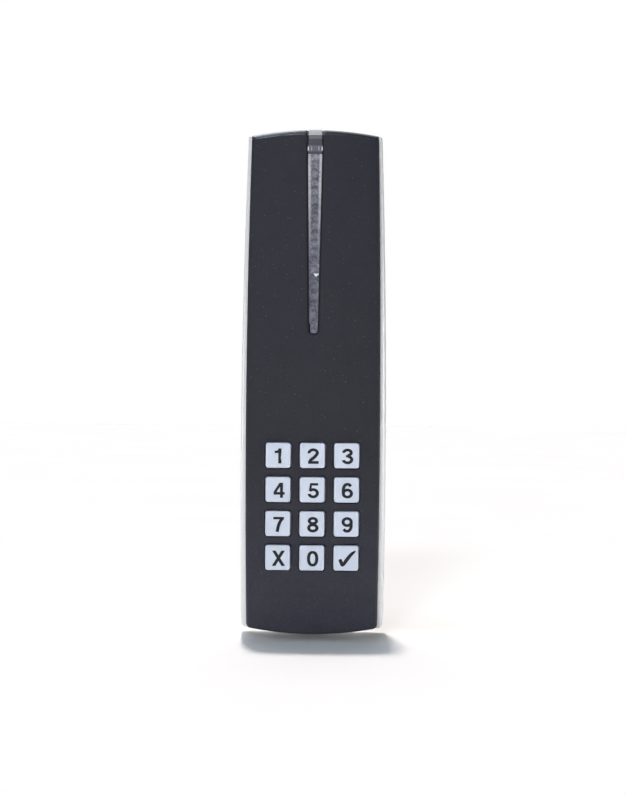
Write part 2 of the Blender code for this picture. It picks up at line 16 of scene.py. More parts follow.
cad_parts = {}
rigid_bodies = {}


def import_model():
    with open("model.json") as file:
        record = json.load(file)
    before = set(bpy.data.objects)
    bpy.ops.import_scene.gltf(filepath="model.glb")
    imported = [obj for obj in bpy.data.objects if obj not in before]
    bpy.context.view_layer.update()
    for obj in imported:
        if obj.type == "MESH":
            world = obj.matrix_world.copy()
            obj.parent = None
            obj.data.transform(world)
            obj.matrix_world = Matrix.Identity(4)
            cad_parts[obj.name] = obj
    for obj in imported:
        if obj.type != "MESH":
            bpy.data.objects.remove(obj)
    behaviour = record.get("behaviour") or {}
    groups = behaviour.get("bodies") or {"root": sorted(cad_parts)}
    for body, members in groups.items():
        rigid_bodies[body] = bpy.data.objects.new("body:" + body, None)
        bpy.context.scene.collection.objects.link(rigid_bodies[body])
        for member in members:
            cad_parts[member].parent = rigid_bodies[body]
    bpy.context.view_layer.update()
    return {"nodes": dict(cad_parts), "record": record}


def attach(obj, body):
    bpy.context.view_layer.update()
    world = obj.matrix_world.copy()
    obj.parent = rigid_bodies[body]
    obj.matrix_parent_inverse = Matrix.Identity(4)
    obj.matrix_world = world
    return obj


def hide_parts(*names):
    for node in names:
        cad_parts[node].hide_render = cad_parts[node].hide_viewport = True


for old in list(bpy.data.objects):
    bpy.data.objects.remove(old, do_unlink=True)
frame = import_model()
nodes = frame["nodes"]

# ------------------------------------------------------------------ the form
HALF = 75.0
DEPTH_MAX, DEPTH_APEX, DEPTH_TOP = 21.0, -20.0, 12.0
DEPTH_CURVE = (DEPTH_MAX - DEPTH_TOP) / (HALF - DEPTH_APEX) ** 2
CROWN = 1.0
END_ARC = 1.7 / 19.0 ** 2
HOUSING_ARC = 1.3 / 19.0 ** 2
DRAFT, SHOULDER = 0.053, 1.2
CORNER_TOP, CORNER_BOTTOM = 0.5, 1.5
FRONT_FILLET, TOP_FILLET = 0.8, 1.5
WALL, FRONT_WALL = 1.8, 2.0
COVER_SKIRT, SEAM = 3.2, 0.6
HOUSING_RIM, FLOOR_BACK, FLOOR_FRONT = 0.4, 2.6, 4.4
PIPE_BOTTOM, PIPE_HALF_LOW, PIPE_TAPER = 13.65, 1.26, 0.0166
PIPE_PROUD, PIPE_LIP, PIPE_GAP = 0.1, 10.0, 0.42
KEY_PITCH, KEY_SIZE, KEY_ROW_TOP, KEY_PROUD = 10.0, 7.3, -22.1, 1.2
KEY_OPENING = KEY_SIZE + 0.6
KEY_STEM, KEY_FLANGE, KEY_STEM_END = 5.2, 8.8, 12.5
CABLE_Y, LOCK_DEPTH = 25.0, 7.0
PLATE_THICK, WALL_SCREWS = 2.0, (41.65, -41.65)


def front_depth(y):
    return DEPTH_MAX - DEPTH_CURVE * (y - DEPTH_APEX) ** 2


def cover_half_w(y):
    return 19.70 - 9.7e-5 * (y + 10.5) ** 2


def housing_half_w(y):
    return 22.16 - 1.717e-4 * (y + 24.6) ** 2


def cover_front(x, y):
    return front_depth(y) - CROWN * (x / cover_half_w(y)) ** 2


def cover_rim(y):
    return front_depth(y) - COVER_SKIRT


def housing_rim(y):
    return front_depth(y) - COVER_SKIRT - SEAM


def shoulder_depth(y):
    return housing_rim(y) - SHOULDER


def housing_w_at(y, d):
    return housing_half_w(y) - DRAFT * (d - HOUSING_RIM)


def pipe_half_w(y):
    return PIPE_HALF_LOW + PIPE_TAPER * (np.minimum(y, 66.0) - 16.0)


KEY_NAMES = [["1", "2", "3"], ["4", "5", "6"], ["7", "8", "9"],
             ["cancel", "0", "enter"]]
KEYS = [(KEY_NAMES[r][c], (c - 1) * KEY_PITCH, KEY_ROW_TOP - KEY_PITCH * r)
        for r in range(4) for c in range(3)]


def place(x, y, d):
    """Panel millimetres to metres in the row frame."""
    return np.stack([np.asarray(x, float), -np.asarray(d, float),
                     np.asarray(y, float)], axis=-1) * 0.001


# ------------------------------------------------------------------ materials
def node_material(name):
    mat = bpy.data.materials.new(name)
    mat.use_nodes = True
    tree = mat.node_tree
    tree.nodes.clear()
    out = tree.nodes.new("ShaderNodeOutputMaterial")
    bsdf = tree.nodes.new("ShaderNodeBsdfPrincipled")
    tree.links.new(bsdf.outputs["BSDF"], out.inputs["Surface"])
    return mat, tree, bsdf


def add(tree, kind, **values):
    node = tree.nodes.new(kind)
    for key, value in values.items():
        if key in node.inputs:
            node.inputs[key].default_value = value
        else:
            setattr(node, key, value)
    return node


def object_coords(tree):
    return add(tree, "ShaderNodeTexCoord").outputs["Object"]


def noise(tree, coords, scale, detail=2.0, rough=0.5, distort=0.0):
    n = add(tree, "ShaderNodeTexNoise", Scale=scale, Detail=detail,
            Roughness=rough, Distortion=distort)
    tree.links.new(coords, n.inputs["Vector"])
    return n.outputs["Fac"]


def ramp(tree, fac, stops):
    r = add(tree, "ShaderNodeValToRGB")
    while len(r.color_ramp.elements) < len(stops):
        r.color_ramp.elements.new(0.5)
    for e, (pos, col) in zip(r.color_ramp.elements, stops):
        e.position = pos
        e.color = (*col, 1.0) if len(col) == 3 else col
    tree.links.new(fac, r.inputs["Fac"])
    return r.outputs["Color"]


def grey(v):
    return (v, v, v)


def to_range(tree, value, a, b, lo, hi):
    m = add(tree, "ShaderNodeMapRange")
    m.inputs["From Min"].default_value = a
    m.inputs["From Max"].default_value = b
    m.inputs["To Min"].default_value = lo
    m.inputs["To Max"].default_value = hi
    m.clamp = True
    tree.links.new(value, m.inputs["Value"])
    return m.outputs["Result"]


def math_node(tree, op, a, b=None):
    m = add(tree, "ShaderNodeMath", operation=op)
    for k, v in enumerate((a, b)):
        if v is None:
            continue
        if isinstance(v, (int, float)):
            m.inputs[k].default_value = v
        else:
            tree.links.new(v, m.inputs[k])
    return m.outputs["Value"]


def mix_colour(tree, fac, a, b):
    m = add(tree, "ShaderNodeMix", data_type="RGBA")
    tree.links.new(fac, m.inputs["Factor"])
    for sock, v in ((m.inputs[6], a), (m.inputs[7], b)):
        if isinstance(v, tuple):
            sock.default_value = (*v, 1.0)
        else:
            tree.links.new(v, sock)
    return m.outputs[2]


def bump(tree, bsdf, height, strength, distance):
    b = add(tree, "ShaderNodeBump", Strength=strength, Distance=distance)
    tree.links.new(height, b.inputs["Height"])
    tree.links.new(b.outputs["Normal"], bsdf.inputs["Normal"])


def charcoal_material(name, rough, specular, strength):
    """Dark moulded plastic with a fine spark-eroded grain and pale specks."""
    mat, t, p = node_material(name)
    co = object_coords(t)
    broad = noise(t, co, 160.0, 6.0, 0.62)
    grain = noise(t, co, 2600.0, 3.0, 0.6)
    base = ramp(t, broad, [(0.30, (0.0199, 0.0190, 0.0270)),
                           (0.70, (0.0259, 0.0249, 0.0339))])
    fine = ramp(t, grain, [(0.35, (0.0131, 0.0126, 0.0185)),
                           (0.70, (0.0340, 0.0327, 0.0427))])
    both = add(t, "ShaderNodeMix", data_type="RGBA")
    both.inputs["Factor"].default_value = 0.5
    t.links.new(base, both.inputs[6])
    t.links.new(fine, both.inputs[7])
    # painted light: the lower end is coloured paler, standing in for light bounced up from the
    # floor
    parts = add(t, "ShaderNodeSeparateXYZ")
    t.links.new(co, parts.inputs["Vector"])
    painted_floor_bounce = to_range(t, parts.outputs["Z"], -0.073, -0.022, 1.74, 1.0)
    toned = add(t, "ShaderNodeVectorMath", operation="SCALE")
    t.links.new(both.outputs[2], toned.inputs[0])
    t.links.new(painted_floor_bounce, toned.inputs["Scale"])
    cells = add(t, "ShaderNodeTexVoronoi", Scale=1150.0)
    t.links.new(co, cells.inputs["Vector"])
    near = to_range(t, cells.outputs["Distance"], 0.10, 0.26, 1.0, 0.0)
    split = add(t, "ShaderNodeSeparateColor")
    t.links.new(cells.outputs["Color"], split.inputs["Color"])
    some = to_range(t, split.outputs["Red"], 0.80, 0.98, 0.0, 1.0)
    speck = math_node(t, "MULTIPLY", near, some)
    colour = mix_colour(t, speck, toned.outputs["Vector"], (0.078, 0.080, 0.092))
    t.links.new(colour, p.inputs["Base Color"])
    t.links.new(to_range(t, grain, 0.3, 0.7, *rough), p.inputs["Roughness"])
    p.inputs["IOR"].default_value = 1.50
    p.inputs["Specular IOR Level"].default_value = specular
    bump(t, p, grain, strength, 0.00006)
    return mat


def silver_material():
    """Silver-grey satin moulding with a slight flake."""
    mat, t, p = node_material("silver_plastic")
    co = object_coords(t)
    flake = noise(t, co, 3200.0, 2.0, 0.65)
    broad = noise(t, co, 38.0, 3.0, 0.5)
    base = ramp(t, broad, [(0.3, (0.76, 0.755, 0.76)), (0.7, (0.83, 0.825, 0.83))])
    spark = ramp(t, flake, [(0.35, (0.68, 0.675, 0.68)), (0.72, (0.90, 0.895, 0.90))])
    both = add(t, "ShaderNodeMix", data_type="RGBA")
    both.inputs["Factor"].default_value = 0.4
    t.links.new(base, both.inputs[6])
    t.links.new(spark, both.inputs[7])
    t.links.new(both.outputs[2], p.inputs["Base Color"])
    p.inputs["Metallic"].default_value = 0.12
    t.links.new(to_range(t, flake, 0.3, 0.7, 0.34, 0.46), p.inputs["Roughness"])
    bump(t, p, flake, 0.10, 0.00004)
    return mat


def key_material():
    """Pale translucent silicone, satin, with a faint cloudiness."""
    mat, t, p = node_material("key_silicone")
    co = object_coords(t)
    cloud = noise(t, co, 420.0, 3.0, 0.55)
    fine = noise(t, co, 2400.0, 2.0, 0.6)
    base = ramp(t, cloud, [(0.30, (0.655, 0.703, 0.805)), (0.72, (0.700, 0.745, 0.845))])
    t.links.new(base, p.inputs["Base Color"])
    t.links.new(to_range(t, fine, 0.3, 0.7, 0.40, 0.50), p.inputs["Roughness"])
    p.inputs["Subsurface Weight"].default_value = 0.25
    p.inputs["Subsurface Radius"].default_value = (0.0009, 0.0010, 0.0012)
    p.inputs["Subsurface Scale"].default_value = 1.0
    p.inputs["IOR"].default_value = 1.41
    bump(t, p, fine, 0.06, 0.00004)
    return mat


def ink_material():
    mat, t, p = node_material("legend_ink")
    co = object_coords(t)
    n = noise(t, co, 3000.0, 2.0, 0.6)
    t.links.new(ramp(t, n, [(0.3, (0.0085, 0.0080, 0.0115)), (0.7, (0.0150, 0.0142, 0.0195))]),
                p.inputs["Base Color"])
    t.links.new(to_range(t, n, 0.3, 0.7, 0.5, 0.62), p.inputs["Roughness"])
    p.inputs["Specular IOR Level"].default_value = 0.3
    return mat


def smooth(tree, value, a, b):
    """0 below a, 1 above b, smooth between."""
    m = add(tree, "ShaderNodeMapRange")
    m.interpolation_type = "SMOOTHSTEP"
    m.inputs["From Min"].default_value = a
    m.inputs["From Max"].default_value = b
    tree.links.new(value, m.inputs["Value"])
    return m.outputs["Result"]


def between(tree, value, a, b, soft):
    up = smooth(tree, value, a - soft, a + soft)
    down = smooth(tree, value, b - soft, b + soft)
    return math_node(tree, "MULTIPLY", up, math_node(tree, "SUBTRACT", 1.0, down))


def pipe_material():
    """Clear bar with reflecting notches behind it: cloudy, with painted highlights that make it
    paler at its edges.
    """
    mat, t, p = node_material("light_pipe_acrylic")
    co = object_coords(t)
    parts = add(t, "ShaderNodeSeparateXYZ")
    t.links.new(co, parts.inputs["Vector"])
    x = math_node(t, "MULTIPLY", parts.outputs["X"], 1000.0)
    z = math_node(t, "MULTIPLY", parts.outputs["Z"], 1000.0)
    ax = math_node(t, "ABSOLUTE", x)
    half = math_node(t, "ADD", math_node(t, "MULTIPLY",
                     math_node(t, "SUBTRACT", math_node(t, "MINIMUM", z, 66.0), 16.0),
                     PIPE_TAPER), PIPE_HALF_LOW)
    u = math_node(t, "DIVIDE", ax, half)
    mottle = noise(t, co, 1500.0, 3.0, 0.62, 0.4)
    blobs = noise(t, co, 420.0, 2.0, 0.5, 0.3)
    cloud = math_node(t, "ADD", math_node(t, "MULTIPLY", mottle, 0.6),
                      math_node(t, "MULTIPLY", blobs, 0.4))
    height = to_range(t, z, 13.0, 68.0, 0.0, 1.0)
    body = ramp(t, height, [(0.00, (0.153, 0.156, 0.191)), (0.06, (0.141, 0.143, 0.175)),
                            (0.16, (0.122, 0.124, 0.149)), (0.45, (0.141, 0.144, 0.173)),
                            (0.72, (0.153, 0.155, 0.182)), (0.88, (0.189, 0.187, 0.216)),
                            (1.00, (0.235, 0.232, 0.261))])
    # cloudiness
    shade = to_range(t, cloud, 0.36, 0.64, 0.50, 1.55)
    grain = noise(t, co, 3300.0, 1.0, 0.5)
    shade = math_node(t, "MULTIPLY", shade, to_range(t, grain, 0.30, 0.70, 0.74, 1.28))
    # notches in the back, about 2.6 mm apart, as small dark chevrons
    run = math_node(t, "ADD", z, math_node(t, "MULTIPLY", ax, 0.35))
    saw = math_node(t, "FRACT", math_node(t, "DIVIDE", math_node(t, "SUBTRACT", run, 63.9), 2.63))
    off = math_node(t, "ABSOLUTE", math_node(t, "SUBTRACT", saw, 0.5))
    notch = math_node(t, "SUBTRACT", 1.0, smooth(t, off, 0.06, 0.26))
    notch = math_node(t, "MULTIPLY", notch, math_node(t, "SUBTRACT", 1.0, smooth(t, u, 0.42, 0.70)))
    notch = math_node(t, "MULTIPLY", notch, to_range(t, mottle, 0.30, 0.55, 0.25, 1.0))
    shade = math_node(t, "MULTIPLY", shade,
                      math_node(t, "SUBTRACT", 1.0, math_node(t, "MULTIPLY", notch, 0.42)))
    # painted light: the bar is coloured brighter in a band just above the bright glint
    painted_glow_band = between(t, z, 31.0, 34.2, 0.25)
    shade = math_node(t, "MULTIPLY", shade,
                      math_node(t, "ADD", 1.0, math_node(t, "MULTIPLY", painted_glow_band, 0.35)))
    tone = add(t, "ShaderNodeVectorMath", operation="SCALE")
    t.links.new(body, tone.inputs[0])
    t.links.new(shade, tone.inputs["Scale"])
    # painted highlight: pale edges, standing in for the side walls catching the light, that fade
    # downwards
    rim = smooth(t, u, 0.48, 0.78)
    rim = math_node(t, "MULTIPLY", rim, smooth(t, z, 33.0, 62.0))
    rim = math_node(t, "MULTIPLY", rim, to_range(t, cloud, 0.32, 0.56, 0.45, 1.0))
    colour = mix_colour(t, rim, tone.outputs["Vector"], (0.55, 0.54, 0.555))
    # clip end above the bar: dark neck, collar with small painted glints, and a pale lip that is a
    # painted highlight on its rounded top
    neck = math_node(t, "MAXIMUM", between(t, z, 69.9, 72.15, 0.10),
                     between(t, z, 67.35, 68.2, 0.08))
    colour = mix_colour(t, neck, colour, (0.074, 0.073, 0.088))
    colour = mix_colour(t, between(t, z, 68.2, 69.9, 0.08), colour, (0.130, 0.131, 0.150))
    colour = mix_colour(t, between(t, z, 72.15, 73.2, 0.10), colour, (0.150, 0.150, 0.168))
    # painted highlight: the pale lip on the rounded top end
    colour = mix_colour(t, smooth(t, z, 73.1, 73.3), colour, (0.50, 0.49, 0.50))
    # painted highlight: small glints on the collar's sides
    lens = between(t, z, 68.45, 69.65, 0.2)
    outer = between(t, ax, 1.90, 2.18, 0.08)
    inner = math_node(t, "MULTIPLY", between(t, ax, 0.98, 1.18, 0.08), 0.5)
    lens = math_node(t, "MULTIPLY", lens, math_node(t, "MAXIMUM", outer, inner))
    colour = mix_colour(t, lens, colour, (0.78, 0.81, 0.88))
    # painted highlight: one bright glint, as of a facet catching the light
    rise = math_node(t, "SUBTRACT", z, 30.2)
    reach = math_node(t, "SUBTRACT", math_node(t, "MULTIPLY", rise, 0.82),
                      math_node(t, "ABSOLUTE", math_node(t, "SUBTRACT", x, 0.62)))
    painted_glint = math_node(t, "MULTIPLY", smooth(t, reach, -0.05, 0.10),
                      math_node(t, "SUBTRACT", 1.0, smooth(t, z, 31.15, 31.35)))
    colour = mix_colour(t, painted_glint, colour, (0.80, 0.86, 0.97))
    t.links.new(colour, p.inputs["Base Color"])
    t.links.new(to_range(t, mottle, 0.3, 0.7, 0.40, 0.58), p.inputs["Roughness"])
    p.inputs["IOR"].default_value = 1.49
    p.inputs["Specular IOR Level"].default_value = 0.25
    bump(t, p, cloud, 0.18, 0.00012)
    return mat


def plain_material(name, low, high, rough, scale, metallic=0.0, strength=0.1,
                   distance=0.00005, detail=3.0, stretch=None, **sockets):
    """A two-tone noise finish, with roughness and bump from the same noise."""
    mat, t, p = node_material(name)
    co = object_coords(t)
    if stretch:
        m = add(t, "ShaderNodeMapping", Scale=stretch)
        t.links.new(co, m.inputs["Vector"])
        co = m.outputs["Vector"]
    n = noise(t, co, scale, detail, 0.55)
    t.links.new(ramp(t, n, [(0.32, low), (0.70, high)]), p.inputs["Base Color"])
    t.links.new(to_range(t, n, 0.3, 0.7, *rough), p.inputs["Roughness"])
    p.inputs["Metallic"].default_value = metallic
    for key, value in sockets.items():
        p.inputs[key].default_value = value
    bump(t, p, n, strength, distance)
    return mat


def board_material():
    """Green solder mask with the traces showing as paler lines under it."""
    mat, t, p = node_material("board_mask")
    co = object_coords(t)
    brick = add(t, "ShaderNodeTexBrick", Scale=420.0)
    brick.inputs["Mortar Size"].default_value = 0.012
    brick.inputs["Color1"].default_value = (0.010, 0.110, 0.045, 1)
    brick.inputs["Color2"].default_value = (0.014, 0.130, 0.052, 1)
    brick.inputs["Mortar"].default_value = (0.030, 0.210, 0.090, 1)
    turn = add(t, "ShaderNodeMapping", Rotation=(math.pi / 2, 0, 0))
    t.links.new(co, turn.inputs["Vector"])
    t.links.new(turn.outputs["Vector"], brick.inputs["Vector"])
    n = noise(t, co, 900.0, 3.0)
    t.links.new(brick.outputs["Color"], p.inputs["Base Color"])
    t.links.new(to_range(t, n, 0.3, 0.7, 0.30, 0.44), p.inputs["Roughness"])
    bump(t, p, brick.outputs["Fac"], 0.2, 0.00004)
    return mat


M = {
    "cover_charcoal": charcoal_material("charcoal_plastic", (0.54, 0.66), 0.28, 0.22),
    "cover_edge": charcoal_material("charcoal_smooth_edge", (0.27, 0.33), 1.0, 0.02),
    "housing_silver": silver_material(),
    "key_silicone": key_material(),
    "light_pipe": pipe_material(),
    "ink": ink_material(),
    "board_green": board_material(),
    "keypad_web": plain_material("mat_silicone", (0.52, 0.56, 0.62), (0.62, 0.66, 0.72),
                                 (0.5, 0.62), 700.0),
    "pill_carbon": plain_material("carbon_pill", (0.010, 0.010, 0.010), (0.022, 0.022, 0.022),
                                  (0.6, 0.75), 2500.0, strength=0.2),
    "rubber_black": plain_material("black_rubber", (0.012, 0.012, 0.012), (0.024, 0.024, 0.025),
                                   (0.62, 0.78), 1800.0, strength=0.18),
    "plate_black": plain_material("plate_plastic", (0.040, 0.040, 0.043), (0.062, 0.062, 0.066),
                                  (0.48, 0.60), 2200.0, strength=0.25),
    "coil_copper": plain_material("enamelled_copper", (0.55, 0.23, 0.09), (0.75, 0.36, 0.17),
                                  (0.28, 0.42), 900.0, metallic=1.0,
                                  stretch=(1.0, 8.0, 1.0)),
    "led": plain_material("led_lens", (0.72, 0.70, 0.52), (0.86, 0.84, 0.66), (0.15, 0.28),
                          900.0, strength=0.05),
    "chip_black": plain_material("chip_epoxy", (0.012, 0.012, 0.013), (0.026, 0.026, 0.027),
                                 (0.42, 0.55), 3000.0, strength=0.2),
    "can_metal": plain_material("plated_can", (0.58, 0.58, 0.60), (0.72, 0.72, 0.74),
                                (0.22, 0.34), 1200.0, metallic=1.0, stretch=(1, 1, 6)),
    "connector_white": plain_material("connector_nylon", (0.68, 0.66, 0.60), (0.78, 0.76, 0.70),
                                      (0.45, 0.58), 1200.0),
    "screw_steel": plain_material("zinc_steel", (0.50, 0.50, 0.51), (0.66, 0.66, 0.67),
                                  (0.24, 0.38), 1600.0, metallic=1.0),
}
for sub in frame["record"]["subparts"]:
    ob = nodes[sub["node"]]
    ob.data.materials.clear()
    ob.data.materials.append(M[sub["material_slot"]])


# --------------------------------------------------------------- mesh helpers
def make(name, verts, faces, mat, body="case", replaces=(), angle=35.0):
    me = bpy.data.meshes.new(name)
    me.from_pydata([tuple(v) for v in verts], [], [tuple(f) for f in faces])
    bm = bmesh.new()
    bm.from_mesh(me)
    bmesh.ops.recalc_face_normals(bm, faces=bm.faces[:])
    bm.to_mesh(me)
    bm.free()
    me.shade_smooth()
    me.set_sharp_from_angle(angle=math.radians(angle))
    me.materials.append(mat)
    ob = bpy.data.objects.new(name, me)
    bpy.context.scene.collection.objects.link(ob)
    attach(ob, body)
    if replaces:
        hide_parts(*replaces)
    return ob


def cut(ob, tools, operation="DIFFERENCE"):
    """Boolean ob with each tool, apply it, and remove the tools."""
    for tool in tools:
        mod = ob.modifiers.new("cut", "BOOLEAN")
        mod.operation = operation
        mod.solver = "EXACT"
        mod.object = tool
        graph = bpy.context.evaluated_depsgraph_get()
        me = bpy.data.meshes.new_from_object(ob.evaluated_get(graph))
        ob.modifiers.clear()
        ob.data = me
        bpy.data.objects.remove(tool, do_unlink=True)
    ob.data.shade_smooth()
    ob.data.set_sharp_from_angle(angle=math.radians(32))


def tool_mesh(bm):
    bmesh.ops.recalc_face_normals(bm, faces=bm.faces[:])
    me = bpy.data.meshes.new("tool")
    bm.to_mesh(me)
    bm.free()
    ob = bpy.data.objects.new("tool", me)
    bpy.context.scene.collection.objects.link(ob)
    return ob


def rod_tool(x, y, d0, d1, r, upright=False, segments=48):
    """A round cutter along the depth, or standing up the panel."""
    bm = bmesh.new()
    if upright:
        at = Matrix.Translation((x * 0.001, -y * 0.001, (d0 + d1) * 0.0005))
    else:
        at = (Matrix.Translation((x * 0.001, -(d0 + d1) * 0.0005, y * 0.001))
              @ Matrix.Rotation(math.pi / 2, 4, "X"))
    bmesh.ops.create_cone(bm, cap_ends=True, segments=segments, radius1=r * 0.001,
                          radius2=r * 0.001, depth=(d1 - d0) * 0.001, matrix=at)
    return tool_mesh(bm)


def box_tool(x0, x1, y0, y1, d0, d1):
    bm = bmesh.new()
    made = bmesh.ops.create_cube(bm, size=1.0)["verts"]
    for v in made:
        v.co = Vector(((x0 + x1) / 2 + v.co.x * (x1 - x0),
                       -((d0 + d1) / 2 + v.co.y * (d1 - d0)),
                       (y0 + y1) / 2 + v.co.z * (y1 - y0))) * 0.001
    return tool_mesh(bm)


def outline(width, end, r_top, r_bot, arc=END_ARC, n_side=110, n_end=22, n_cor=8):
    """The panel's closed outline, counter-clockwise as the user sees it."""
    half = []

    def corner(s):
        x = width(s * end)
        for _ in range(25):
            x = width(s * (end - arc * x * x))
        return np.array([x, s * (end - arc * x * x)])

    cb, ct = corner(-1), corner(1)
    lb, lt = 0.84 * r_bot, 0.84 * r_top

    def fillet(p0, c, p1):
        w = math.sin(math.radians(50))
        for k in range(n_cor + 1):
            t = k / n_cor
            b0, b1, b2 = (1 - t) ** 2, 2 * w * t * (1 - t), t * t
            half.append((p0 * b0 + c * b1 + p1 * b2) / (b0 + b1 + b2))

    for k in range(n_end):
        x = (cb[0] - lb) * k / n_end
        half.append(np.array([x, -end + arc * x * x]))
    x = cb[0] - lb
    y = cb[1] + lb
    fillet(np.array([x, -end + arc * x * x]), cb, np.array([width(y), y]))
    y0, y1 = y, ct[1] - lt
    for k in range(1, n_side):
        y = y0 + (y1 - y0) * k / n_side
        half.append(np.array([width(y), y]))
    x = ct[0] - lt
    fillet(np.array([width(y1), y1]), ct, np.array([x, end - arc * x * x]))
    for k in range(1, n_end + 1):
        xx = x * (1 - k / n_end)
        half.append(np.array([xx, end - arc * xx * xx]))
    half = np.array(half)
    other = half[1:-1][::-1] * np.array([-1.0, 1.0])
    return np.concatenate([half, other])


def rounded_rect(cx, cy, w, h, r, n=6, straight=4):
    pts = []
    corners = ((1, 1, 0), (-1, 1, 90), (-1, -1, 180), (1, -1, 270))
    for sx, sy, a0 in corners:
        for k in range(n + 1):
            a = math.radians(a0 + 90.0 * k / n)
            pts.append((cx + sx * (w / 2 - r) + r * math.cos(a),
                        cy + sy * (h / 2 - r) + r * math.sin(a)))
    out = []
    for i, p in enumerate(pts):
        out.append(p)
        if i % (n + 1) == n:
            q = pts[(i + 1) % len(pts)]
            for k in range(1, straight):
                t = k / straight
                out.append((p[0] + (q[0] - p[0]) * t, p[1] + (q[1] - p[1]) * t))
    return np.array(out)


def loop_distance(points, loop):
    """Distance of each point to a closed loop of straight pieces."""
    a = loop
    b = np.roll(loop, -1, axis=0)
    ab = b - a
    ll = np.maximum((ab ** 2).sum(1), 1e-18)
    best = np.empty(len(points))
    for s in range(0, len(points), 1500):
        p = points[s:s + 1500, None, :]
        t = np.clip(((p - a) * ab).sum(-1) / ll, 0, 1)
        q = a + t[..., None] * ab
        best[s:s + 1500] = np.sqrt(((p - q) ** 2).sum(-1).min(1))
    return best


def inside_loop(points, loop):
    x, y = points[:, 0], points[:, 1]
    inside = np.zeros(len(points), bool)
    a, b = loop, np.roll(loop, -1, axis=0)
    for (x0, y0), (x1, y1) in zip(a, b):
        if y0 == y1:
            continue
        hit = (y0 > y) != (y1 > y)
        inside ^= hit & (x < (x1 - x0) * (y - y0) / (y1 - y0) + x0)
    return inside


def loop_normals(loop):
    """Inward normals of a counter-clockwise loop."""
    t = np.roll(loop, -1, axis=0) - np.roll(loop, 1, axis=0)
    n = np.stack([-t[:, 1], t[:, 0]], axis=1)
    return n / np.linalg.norm(n, axis=1, keepdims=True)


def fillet_drop(s, r):
    u = np.clip(s, 0, r)
    return r - np.sqrt(np.maximum(r * r - (r - u) ** 2, 0.0))


def zoned_solid(xy, tris, zone_of, levels, zones):
    """A solid from a flat triangulation whose zones have their own top and bottom.

    levels: name -> depth of every point; zones: zone -> (top, bottom) names.
    """
    index, verts, faces = {}, [], []
    at_point = {}

    def vid(p, level):
        key = (p, level)
        if key not in index:
            index[key] = len(verts)
            verts.append(place(xy[p, 0], xy[p, 1], levels[level][p]))
            at_point.setdefault(p, set()).add(level)
        return index[key]

    edges = {}
    for tri, z in zip(tris, zone_of):
        if z is None:
            continue
        top, bottom = zones[z]
        faces.append([vid(p, top) for p in tri])
        faces.append([vid(p, bottom) for p in reversed(tri)])
        for k in range(3):
            e = (tri[k], tri[(k + 1) % 3])
            edges.setdefault((min(e), max(e)), []).append(z)

    def column(p, upper, lower):
        hi, lo = levels[upper][p], levels[lower][p]
        if hi < lo:
            hi, lo = lo, hi
        found = [(levels[n][p], n) for n in at_point[p]
                 if lo - 1e-9 <= levels[n][p] <= hi + 1e-9]
        return [index[(p, n)] for _, n in sorted(found, reverse=True)]

    def wall(e, upper, lower):
        a, b = column(e[0], upper, lower), column(e[1], upper, lower)
        if levels[upper][e[0]] < levels[lower][e[0]]:
            pass
        faces.append(a + b[::-1])

    for e, zs in edges.items():
        if len(zs) == 1:
            top, bottom = zones[zs[0]]
            wall(e, top, bottom)
        elif zs[0] != zs[1]:
            (t0, b0), (t1, b1) = zones[zs[0]], zones[zs[1]]
            if t0 != t1:
                wall(e, t0, t1)
            if b0 != b1:
                wall(e, b0, b1)
    return verts, faces


# ---------------------------------------------------------------- front cover
def slot_loop(side):
    """The light pipe's slot, grown by side, running out past the top edge."""
    low = PIPE_BOTTOM - 0.3 - side * 0.7
    r = 1.0 + side
    right = []
    for k in range(9):
        a = math.radians(-90 + 90 * k / 8)
        hw = pipe_half_w(low + r) + PIPE_GAP + side
        right.append((hw - r + r * math.cos(a), low + r + r * math.sin(a)))
    ys = np.linspace(low + r, 78.0, 62)[1:]
    right += [(pipe_half_w(y) + PIPE_GAP + side, y) for y in ys]
    right = np.array(right)
    return np.concatenate([right, right[::-1] * np.array([-1.0, 1.0])])


def below_top(points):
    """How far points lie below the cover's top edge."""
    return np.maximum(HALF - END_ARC * points[:, 0] ** 2 - points[:, 1], 0.0)


